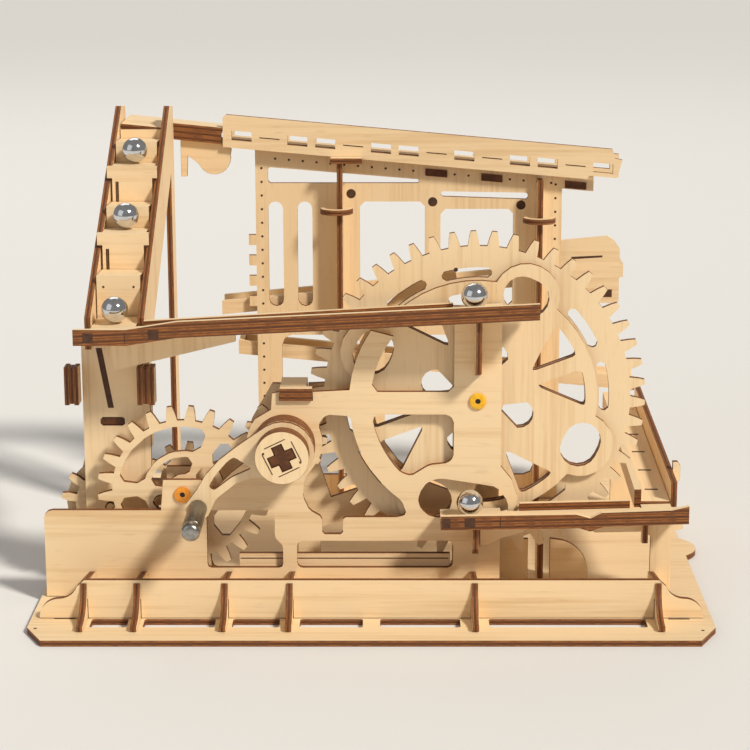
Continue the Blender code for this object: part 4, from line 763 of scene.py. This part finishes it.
@dataclass
class Crank(SubAssembly):
    """The built-up disc with the crossed slats, the bowed arm, the stacked collar and the handle peg."""

    axle: Point = (-31.0, 59.8)
    hub_front: float = 24.8
    hub_sheets: int = 3
    hub_radius: float = 9.4
    collar_front: float = 34.2
    collar_sheets: int = 4
    collar_radius: float = 11.0
    sheet_inset: float = 0.04
    slat_long: float = 4.8
    slat_half: float = 2.0
    angle: float = 24.0
    square: float = 5.6
    square_gap: float = 1.6
    square_turn: float = 26.0
    stroke_half: float = 0.18
    hole_ring: float = 6.6
    hole: float = 0.45
    peg: Point = (-61.08, 39.66)
    peg_tip: float = 2.4
    peg_root: float = 31.4
    peg_radius: float = 3.3

    def cross(self) -> list[Point]:
        """The hole that the crossed slats pass through."""
        end, half = self.slat_long, self.slat_half
        quarter = [(end, -half), (end, half), (half, half)]
        ring = [point for turn in range(4) for point in turned_about(quarter, (0.0, 0.0), 90.0 * turn)]
        return turned_about(ring, self.axle, self.angle)

    def build(self) -> None:
        """Dresses the crank, cuts its round sheets finely and turns its peg."""
        self.dress(("crank_arm", "crank_pinion"), Sheet.FRONT, Grain.UPRIGHT)
        self.dress(("crank_shaft",), Sheet.END_GRAIN)
        self.stack("crank_hub", self.hub_front, self.hub_sheets, self.hub_radius)
        self.stack("crank_collar", self.collar_front, self.collar_sheets, self.collar_radius)
        self.engraving()
        self.handle()

    def stack(self, node: str, front: float, sheets: int, radius: float) -> None:
        """Round sheets laid on each other, with a hairline between them.

        Args:
            node: The CAD node that they stand for.
            front: The depth of the first sheet's front.
            sheets: How many there are.
            radius: Their radius.
        """
        for number in range(sheets):
            name, near = f"{node}_sheet_{number + 1}", front + number * PLY
            ring = circle(self.axle, radius - self.sheet_inset * (number % 2), 96)
            holes = [self.cross()]
            piece = self.board(name, ring, near, grain=Grain.UPRIGHT, holes=holes, body="crank")
            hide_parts(node)

    def engraving(self) -> None:
        """The four engraved strokes and two small holes round the cross."""
        end = self.square - self.square_gap
        stroke = slab(-end, self.square - self.stroke_half, end, self.square + self.stroke_half)
        for turn in range(4):
            ring = turned_about(turned_about(stroke, (0.0, 0.0), 90.0 * turn), self.axle, self.square_turn)
            self.burn_and_shade_mark(f"hub_stroke_{turn + 1}", ring, self.hub_front, body="crank")
        # The holes are dark discs: painted shade standing for their insides.
        for number, side in enumerate((167.0, -13.0), 1):
            ring = circle(toward(self.axle, self.hole_ring, side), self.hole, 12)
            self.burn_and_shade_mark(f"hub_hole_{number}", ring, self.hub_front, body="crank")

    def handle(self) -> None:
        """The peg: a sleeve on a screw, with the screw's domed and crossed head at its tip."""
        tip, root, radius = self.peg_tip, self.peg_root, self.peg_radius
        sleeve = [(tip + 4.6, 0.0), (tip + 4.6, radius - 0.5), (tip + 4.9, radius - 0.1), (tip + 5.3, radius)]
        sleeve += [(root - 0.5, radius), (root - 0.1, radius - 0.2), (root, radius - 0.5), (root, 0.0)]
        piece = turned_piece("handle_sleeve", self.peg, sleeve)
        settle(piece, "handle", GUN_METAL.material("handle_sleeve_metal"))
        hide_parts("crank_peg")
        head = [(tip, 0.0), (tip, radius - 1.9), (tip + 0.25, radius - 1.0), (tip + 0.8, radius - 0.35)]
        head += [(tip + 1.5, radius - 0.05), (tip + 4.2, radius - 0.05)]
        head += [(tip + 4.5, radius - 0.45), (tip + 4.5, 0.0)]
        cap = turned_piece("handle_screw_head", self.peg, head)
        settle(cap, "handle", SCREW_METAL.material("handle_screw_metal"))
        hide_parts("crank_peg")
        # The cross recess is two near-black bars: painted shade in place of a cut recess.
        for number, angle in enumerate((20.0, 110.0), 1):
            ring = turned_about(slab(-1.25, -0.3, 1.25, 0.3), self.peg, angle)
            name, near = f"handle_recess_{number}", tip + 0.01 * number
            mark = cut_sheet(name, ring, near, tip + 0.2, Sheet.FRONT, bevel=0.0)
            settle(mark, "handle", PAINTED_HOLLOW_SHADE.material(f"{name}_dark"))
        LOG.info("turned crank_peg")


@dataclass
class SmallGears(SubAssembly):
    """The idler pair at the left and the drive under the stairs."""

    idler: Point = (-67.72, 40.68)
    head: float = 44.2
    back: float = 63.7

    def build(self) -> None:
        """Dresses the small gears and turns the idler's axle."""
        self.dress(("idler_gear", "idler_pinion", "stair_gear", "stair_crank_disc"), Sheet.FRONT)
        bushed_axle("idler_axle", "idler", self.idler, self.head, self.back, ORANGE_PLASTIC)


@dataclass
class Stairs(SubAssembly):
    """The stepped lift: stringers, fixed and moving steps, the comb and link, and the exit floor."""

    middle: float = -90.5
    step_front: float = 61.6
    dot: float = 0.45
    dot_side: float = 5.4
    dot_level: float = 112.9
    exit_level: float = 158.2
    exit_fall: float = 0.1

    def build(self) -> None:
        """Dresses the stairs and adds their marks, blocks and the bracket at the top."""
        self.dress(("stair_stringer_left", "stair_stringer_right"), Sheet.SIDE, Grain.UPRIGHT)
        self.dress(("step_comb",), Sheet.SIDE, Grain.BACKWARD)
        self.dress(("stair_front_board", "step_link"), Sheet.FRONT, Grain.UPRIGHT)
        self.dress(("fixed_step_1", "fixed_step_2"), Sheet.STEP)
        self.dress((f"moving_step_{number}" for number in range(1, 4)), Sheet.STEP)
        for number, side in enumerate((-self.dot_side, self.dot_side), 1):
            ring = circle((self.middle + side, self.dot_level), self.dot, 12)
            self.burn_and_shade_mark(f"step_dot_{number}", ring, self.step_front, body="steps")
        self.blocks()
        self.front_board_work()
        self.exit_boards()
        self.top_bracket()

    def blocks(self) -> None:
        """Two stacks of small sheets that hold the board under the stairs."""
        for name, left, wide in (("left", -109.4, 1.7), ("right", -83.6, 2.1)):
            for layer in range(3):
                near = left + wide * layer
                inset = 0.4 * (layer % 2)
                ring = slab(50.2 + inset, 72.2 + inset, 56.8, 86.0 - inset)
                label = f"stair_block_{name}_{layer + 1}"
                self.board(label, ring, near, Sheet.SIDE, Grain.UPRIGHT, thick=wide - 0.05)

    def front_board_work(self) -> None:
        """The slanting slot in the stairs' front board, and the tenon end in its small slot."""
        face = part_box("stair_front_board")[0][1] / MM + BASE_DEPTH / 2
        slant = [(-98.8, 91.5), (-95.0, 69.4), (-92.9, 69.4), (-96.6, 91.5)]
        # The slanting slot is not cut: a dark mark on the face is painted shade standing for the opening.
        self.burn_and_shade_mark("board_slant", slant, face, before=0.05)
        self.tenon("board_tenon", slab(-97.6, 63.1, -89.3, 65.7), face + 0.3, face + 1.9)

    def exit_at(self, x: float) -> float:
        """The level of the exit floor's underside at an X."""
        return self.exit_level - self.exit_fall * (x - self.middle)

    def exit_boards(self) -> None:
        """The sloping floor at the stairs' top, two sheets under its edge, and the lip at its front."""
        floor = [(-98.5, 145.1), (-82.5, 145.1), (-82.5, 162.9), (-60.7, 162.9)]
        floor += [(-60.7, 176.1), (-98.5, 176.1)]
        edge = slab(-80.0, 163.0, -61.0, 165.0)
        sheets = (("exit_floor", floor, 0.0), ("exit_edge_1", edge, PLY), ("exit_edge_2", edge, 2 * PLY))
        for name, ring, drop in sheets:
            piece = cut_sheet(name, ring, -drop, PLY - drop, Sheet.FLAT)
            for vert in piece.data.vertices:
                vert.co.z += self.exit_at(vert.co.x / MM) * MM
            right = max(x for x, _ in ring)
            low = place_in(Sheet.FLAT, right, 0.0, self.exit_at(right) - drop)
            finish = self.finish_for(name, Sheet.FLAT, Grain.ACROSS, low, -self.exit_fall)
            settle(piece, "frame", finish)
            if not drop:
                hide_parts("stair_exit_landing")
        lip = self.board("exit_lip", slab(-98.5, 143.0, -82.5, 159.3), 142.6, thick=2.8)
        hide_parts("stair_exit_landing")

    def top_bracket(self) -> None:
        """The lobed bracket under the exit floor."""
        lobe = arc((-64.1, 145.0), 6.6, -158, 10, 12)
        leg = [(-77.5, 154.0), (-77.5, 137.6), (-75.1, 137.6), (-74.7, 146.0)]
        outline = [*leg, *lobe, (-57.2, 148.4), (-59.0, 153.0)]
        self.board("exit_bracket", outline, 165.2)


@dataclass
class FrontLanes(SubAssembly):
    """The long front track and the tray, whose walls are sheets laid flat on each other."""

    track_slope: float = 0.0496
    tray_slope: float = 0.026
    wall_face: float = 29.8
    notch_high: float = 3.5
    notches: tuple[tuple[str, float, float, float], ...] = (
        ("tray_notch_1", 24.7, 27.7, 33.0),
        ("tray_notch_2", 32.6, 36.4, 33.1),
        ("tray_notch_3", 45.0, 45.4, 33.4),
        ("track_notch_1", -99.3, -95.7, 99.4),
        ("track_notch_2", -85.0, -84.6, 99.5),
        ("track_notch_3", -76.8, -73.1, 100.6),
    )

    def build(self) -> None:
        """Dresses the lanes and puts dark marks on their near walls for the notches: painted shade standing
        for the openings.
        """
        for lane, slope in (("front_track", self.track_slope), ("tray", self.tray_slope)):
            nodes = [f"{lane}_{part}" for part in ("near_wall", "rear_wall", "floor")]
            self.dress(nodes, Sheet.FLAT, slope=slope)
        self.dress(("front_track_gusset", "tray_post"), Sheet.FRONT, Grain.UPRIGHT)
        # Each notch is a dark mark on the wall's face: painted shade standing for the opening.
        for name, left, right, low in self.notches:
            self.burn_and_shade_mark(name, slab(left, low, right, low + self.notch_high), self.wall_face)


@dataclass
class SideRail(SubAssembly):
    """The rail along the right edge, with slots in its floor and a lug on its wall."""

    floor_front: float = 37.4
    climb: float = 0.045
    start: float = 47.6
    slots: int = 5
    slot_first: float = 60.0
    slot_step: float = 22.0
    slot_left: float = 99.2
    slot_right: float = 104.0
    slot_wide: float = 1.3

    def build(self) -> None:
        """Dresses the rail, marks its slots in painted shade and adds its lug."""
        self.dress(("side_rail_floor",), Sheet.GUTTER, Grain.BACKWARD)
        self.dress(("side_rail_wall",), Sheet.SIDE, Grain.BACKWARD)
        self.dress(("side_rail_post",), Sheet.FRONT, Grain.UPRIGHT)
        # Each slot is a dark mark on the floor: painted shade standing for the opening.
        for number in range(self.slots):
            depth = self.slot_first + self.slot_step * number
            level = self.floor_front + self.climb * (depth - self.start)
            ring = slab(self.slot_left, depth, self.slot_right, depth + self.slot_wide)
            self.burn_and_shade_mark(f"side_rail_slot_{number + 1}", ring, level, Sheet.FLAT, past=0.09)
        lug = [(109.4, 40.0), (111.2, 40.0), (112.2, 41.5), (112.2, 46.5), (111.2, 48.0), (109.4, 48.0)]
        self.board("side_rail_lug", lug, 62.0)


@dataclass
class Tower(SubAssembly):
    """The tall pierced frame with its posts, clips, tenon ends and rows of dots."""

    face: float = 168.0
    left: float = -48.0
    right: float = 75.5
    fall: float = 0.0885
    head: float = 149.5
    dot: float = 0.5
    dot_step: float = 5.55
    dot_clear: float = 1.5
    left_foot: float = 24.0
    right_foot: float = 84.0
    hole: float = 1.9
    tenons: tuple[Point, ...] = ((20.4, 29.2), (42.9, 51.4), (76.6, 85.2))
    tenon_high: float = 2.9
    clip_ahead: float = 8.3

    def head_at(self, x: float) -> float:
        """The frame's top edge at an X."""
        return self.head - self.fall * (x - self.left)

    def build(self) -> None:
        """Dresses the tower and adds its small work."""
        self.dress(("tower_frame",), Sheet.FRONT, Grain.UPRIGHT)
        self.dress(("tower_post_left", "tower_post_right"), Sheet.SIDE, Grain.UPRIGHT)
        self.dots()
        self.holes_and_tenons()
        self.clips()

    def mark(self, name: str, ring: Ring) -> None:
        """One dark mark on the frame's front, for a dot or a hole; on a hole the dark is painted shade."""
        self.burn_and_shade_mark(name, ring, self.face, before=0.05)

    def dots(self) -> None:
        """Rows of pricked dots along three borders of the frame, clear of the tenon ends."""
        left, right, step = self.left + 2.5, self.right - 2.6, self.dot_step
        rows = {
            "left": [(left, z) for z in rungs(self.left_foot, self.head_at(self.left) - 4, step)],
            "top": [(x, self.head_at(x) - 4.4) for x in rungs(left + step, self.right - 4, step)],
            "right": [(right, z) for z in rungs(self.right_foot, self.head_at(self.right) - 4, step)],
        }
        gap = self.dot_clear
        for side, spots in rows.items():
            for number, spot in enumerate(spots, 1):
                if not any(low - gap < spot[0] < high + gap for low, high in self.tenons):
                    self.mark(f"tower_dot_{side}_{number}", circle(spot, self.dot, 10))

    def holes_and_tenons(self) -> None:
        """Round holes under the head, and the brown ends of the tenons that come through it."""
        # The holes are dark discs: painted shade standing for their insides.
        for number, (x, z) in enumerate(((-9.5, 130.2), (23.4, 126.9), (59.0, 125.6)), 1):
            self.mark(f"tower_hole_{number}", circle((x, z), self.hole, 20))
        for number, (left, right) in enumerate(self.tenons, 1):
            top = self.head_at(left) - 3.0
            low, tilt = top - self.tenon_high, self.fall * (right - left)
            ring = [(left, low), (right, low - tilt), (right, top - tilt), (left, top)]
            self.tenon(f"tower_tenon_{number}", ring, self.face - 0.6, self.face + 0.5)

    def clips(self) -> None:
        """The curved clips that hold the posts, and the cap on the left one."""
        depth = self.face - self.clip_ahead
        for name, x, level in (("left", -15.2, 123.3), ("right", 66.0, 119.6)):
            outer = arc((x, depth + 1.4), 6.6, 180, 360, 14)
            inner = arc((x, depth + 2.6), 4.9, 360, 180, 14)
            self.board(f"post_clip_{name}", outer + inner, level, Sheet.FLAT)
        self.board("post_cap", slab(-17.6, depth - 1.5, -4.9, depth + 3.1), 143.6, Sheet.FLAT)


@dataclass
class BackRails(SubAssembly):
    """The high slotted rail and the two zigzag rails behind the tower."""

    closed: tuple[int, ...] = (1, 4, 7, 9, 12)
    slit_start: float = -56.9
    slit_step: float = 11.1
    slit_long: float = 8.0
    rail_left: float = -60.4
    rail_high: float = 154.7
    fall: float = 0.0885
    face: float = 163.0
    catch_face: float = 170.6

    def build(self) -> None:
        """Dresses the rails and burns the slits of the high rail's closed slots."""
        self.dress(("top_rail_front_wall", "top_rail_rear_wall"), Sheet.FRONT)
        self.dress(("top_rail_floor",), Sheet.FLAT, slope=-self.fall)
        self.dress(("zigzag_rail_upper", "zigzag_rail_lower"), Sheet.STEP)
        self.catch_marks()
        for number in self.closed:
            left = self.slit_start + self.slit_step * number
            right = left + self.slit_long
            level = self.rail_high - self.fall * (left - self.rail_left)
            ring = [(left, level - 0.2), (right, level - 0.9), (right, level - 0.5), (left, level + 0.2)]
            self.burn_and_shade_mark(f"top_rail_slit_{number}", ring, self.face)

    def catch_marks(self) -> None:
        """The groove, and the small window of the board at the upper rail's end, drawn as a brown mark of
        painted shade in place of the opening.
        """
        groove = [(80.0, 102.9), (92.6, 103.7), (92.6, 104.5), (80.0, 103.9)]
        self.burn_and_shade_mark("catch_groove", groove, self.catch_face)
        self.burn_and_shade_mark("catch_window", slab(90.6, 87.2, 96.8, 90.4), self.catch_face)


@dataclass
class Balls:
    """The five steel balls."""

    radius: float = 4.75
    names: tuple[str, ...] = ("track", "tray", "entry", "stair_low", "stair_high")
    steel: PolishedSteel = field(default_factory=PolishedSteel)

    def build(self) -> None:
        """Puts a fine sphere in each ball's place."""
        for node in (f"ball_{name}" for name in self.names):
            shape = bmesh.new()
            bmesh.ops.create_icosphere(shape, subdivisions=5, radius=self.radius * MM)
            bmesh.ops.translate(shape, vec=middle_of(node), verts=shape.verts)
            piece = new_piece(f"{node}_polished", shape, ALL_SMOOTH_DEGREES)
            settle(piece, BODY_OF[node], self.steel.material(f"{node}_steel"))
            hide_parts(node)
            LOG.info("polished %s", node)


@dataclass(frozen=True)
class Softbox:
    """A square area lamp, aimed at the object. Its place and size are in metres."""

    name: str
    place: Place
    size: float
    power: float
    colour: Colour


@dataclass
class Studio:
    """The pale floor, the soft lights and the camera, in metres."""

    floor_colour: Colour = (0.80, 0.79, 0.77)
    floor_corners: Ring = ((-6, -6), (6, -6), (6, 9), (-6, 9))
    floor_rough: float = 0.8
    lens: float = 103.5
    sensor: float = 36.0
    camera_place: Place = (0.0082, -0.797, 0.262)
    pitch: float = 76.5
    shift: float = -20 / 750
    sun_power: float = 3.1
    sun_from: Place = (0.6, -0.55, 0.75)
    sun_spread: float = 9.0
    sun_colour: Colour = (1.0, 0.95, 0.87)
    aim: Place = (0.0, 0.0, 0.06)
    softboxes: tuple[Softbox, ...] = (
        Softbox("studio_fill", (-1.1, -0.9, 0.8), 1.2, 2.5, (0.95, 0.97, 1.0)),
        Softbox("studio_rim", (-0.3, 1.2, 1.3), 1.0, 4.0, (1.0, 0.98, 0.95)),
    )
    sky_power: float = 0.25
    sky_colour: Colour = (1.0, 0.985, 0.96)
    backdrop: Colour = (0.93, 0.925, 0.91)

    def build(self) -> None:
        """Sets the stage."""
        self.floor()
        self.lamps()
        self.sky()
        self.camera()

    def floor(self) -> None:
        """A wide flat floor."""
        shape = bmesh.new()
        shape.faces.new([shape.verts.new((x, y, 0.0)) for x, y in self.floor_corners])
        piece = new_piece("studio_floor", shape, ALL_SMOOTH_DEGREES)
        if piece.data.polygons[0].normal.z < 0:
            piece.data.flip_normals()
        inputs = {"Base Color": (*self.floor_colour, 1.0), "Roughness": self.floor_rough}
        piece.data.materials.append(Recipe("studio_floor_paint").finish(inputs))

    def hang(self, light: bpy.types.Light, place: Vector, direction: Vector) -> None:
        """Puts a light at a place in the scene, shining along a direction."""
        holder = bpy.data.objects.new(light.name, light)
        holder.location = place
        holder.rotation_euler = direction.to_track_quat("-Z", "Y").to_euler()
        bpy.context.scene.collection.objects.link(holder)

    def lamps(self) -> None:
        """A warm sun from the right, a weak fill from the left and a rim light from behind."""
        sun = bpy.data.lights.new("studio_sun", "SUN")
        sun.energy = self.sun_power
        sun.angle = math.radians(self.sun_spread)
        sun.color = self.sun_colour
        self.hang(sun, Vector(), -Vector(self.sun_from))
        for box in self.softboxes:
            lamp = bpy.data.lights.new(box.name, "AREA")
            lamp.shape = "SQUARE"
            lamp.size = box.size
            lamp.energy = box.power
            lamp.color = box.colour
            self.hang(lamp, Vector(box.place), Vector(self.aim) - Vector(box.place))

    def sky(self) -> None:
        """An even sky, and the paler backdrop that the camera alone sees."""
        world = bpy.data.worlds.new("studio_sky")
        world.use_nodes = True
        tree = world.node_tree
        sky = tree.nodes["Background"]
        sky.inputs["Color"].default_value = (*self.sky_colour, 1.0)
        sky.inputs["Strength"].default_value = self.sky_power
        pale = tree.nodes.new("ShaderNodeBackground")
        pale.inputs["Color"].default_value = (*self.backdrop, 1.0)
        rays = tree.nodes.new("ShaderNodeLightPath")
        choice = tree.nodes.new("ShaderNodeMixShader")
        tree.links.new(rays.outputs["Is Camera Ray"], choice.inputs[0])
        tree.links.new(sky.outputs[0], choice.inputs[1])
        tree.links.new(pale.outputs[0], choice.inputs[2])
        tree.links.new(choice.outputs[0], tree.nodes["World Output"].inputs[0])
        bpy.context.scene.world = world

    def camera(self) -> None:
        """The camera at the photograph's height and angle."""
        eye = bpy.data.cameras.new("studio_camera")
        eye.lens = self.lens
        eye.sensor_width = self.sensor
        eye.shift_x = self.shift
        holder = bpy.data.objects.new("studio_camera", eye)
        holder.location = self.camera_place
        holder.rotation_euler = (math.radians(self.pitch), 0.0, 0.0)
        bpy.context.scene.collection.objects.link(holder)
        bpy.context.scene.camera = holder
        bpy.context.scene.view_settings.view_transform = "Standard"


def main() -> None:
    """Builds every sub-assembly in order, then the studio."""
    logging.basicConfig(level=logging.INFO, format="%(message)s")
    parts = (Carcass, LiftWheel, Crank, SmallGears, Stairs, FrontLanes, SideRail, Tower, BackRails, Balls)
    for part in (*parts, Studio):
        LOG.info("building %s", part.__name__)
        part().build()


if __name__ == "__main__":
    main()
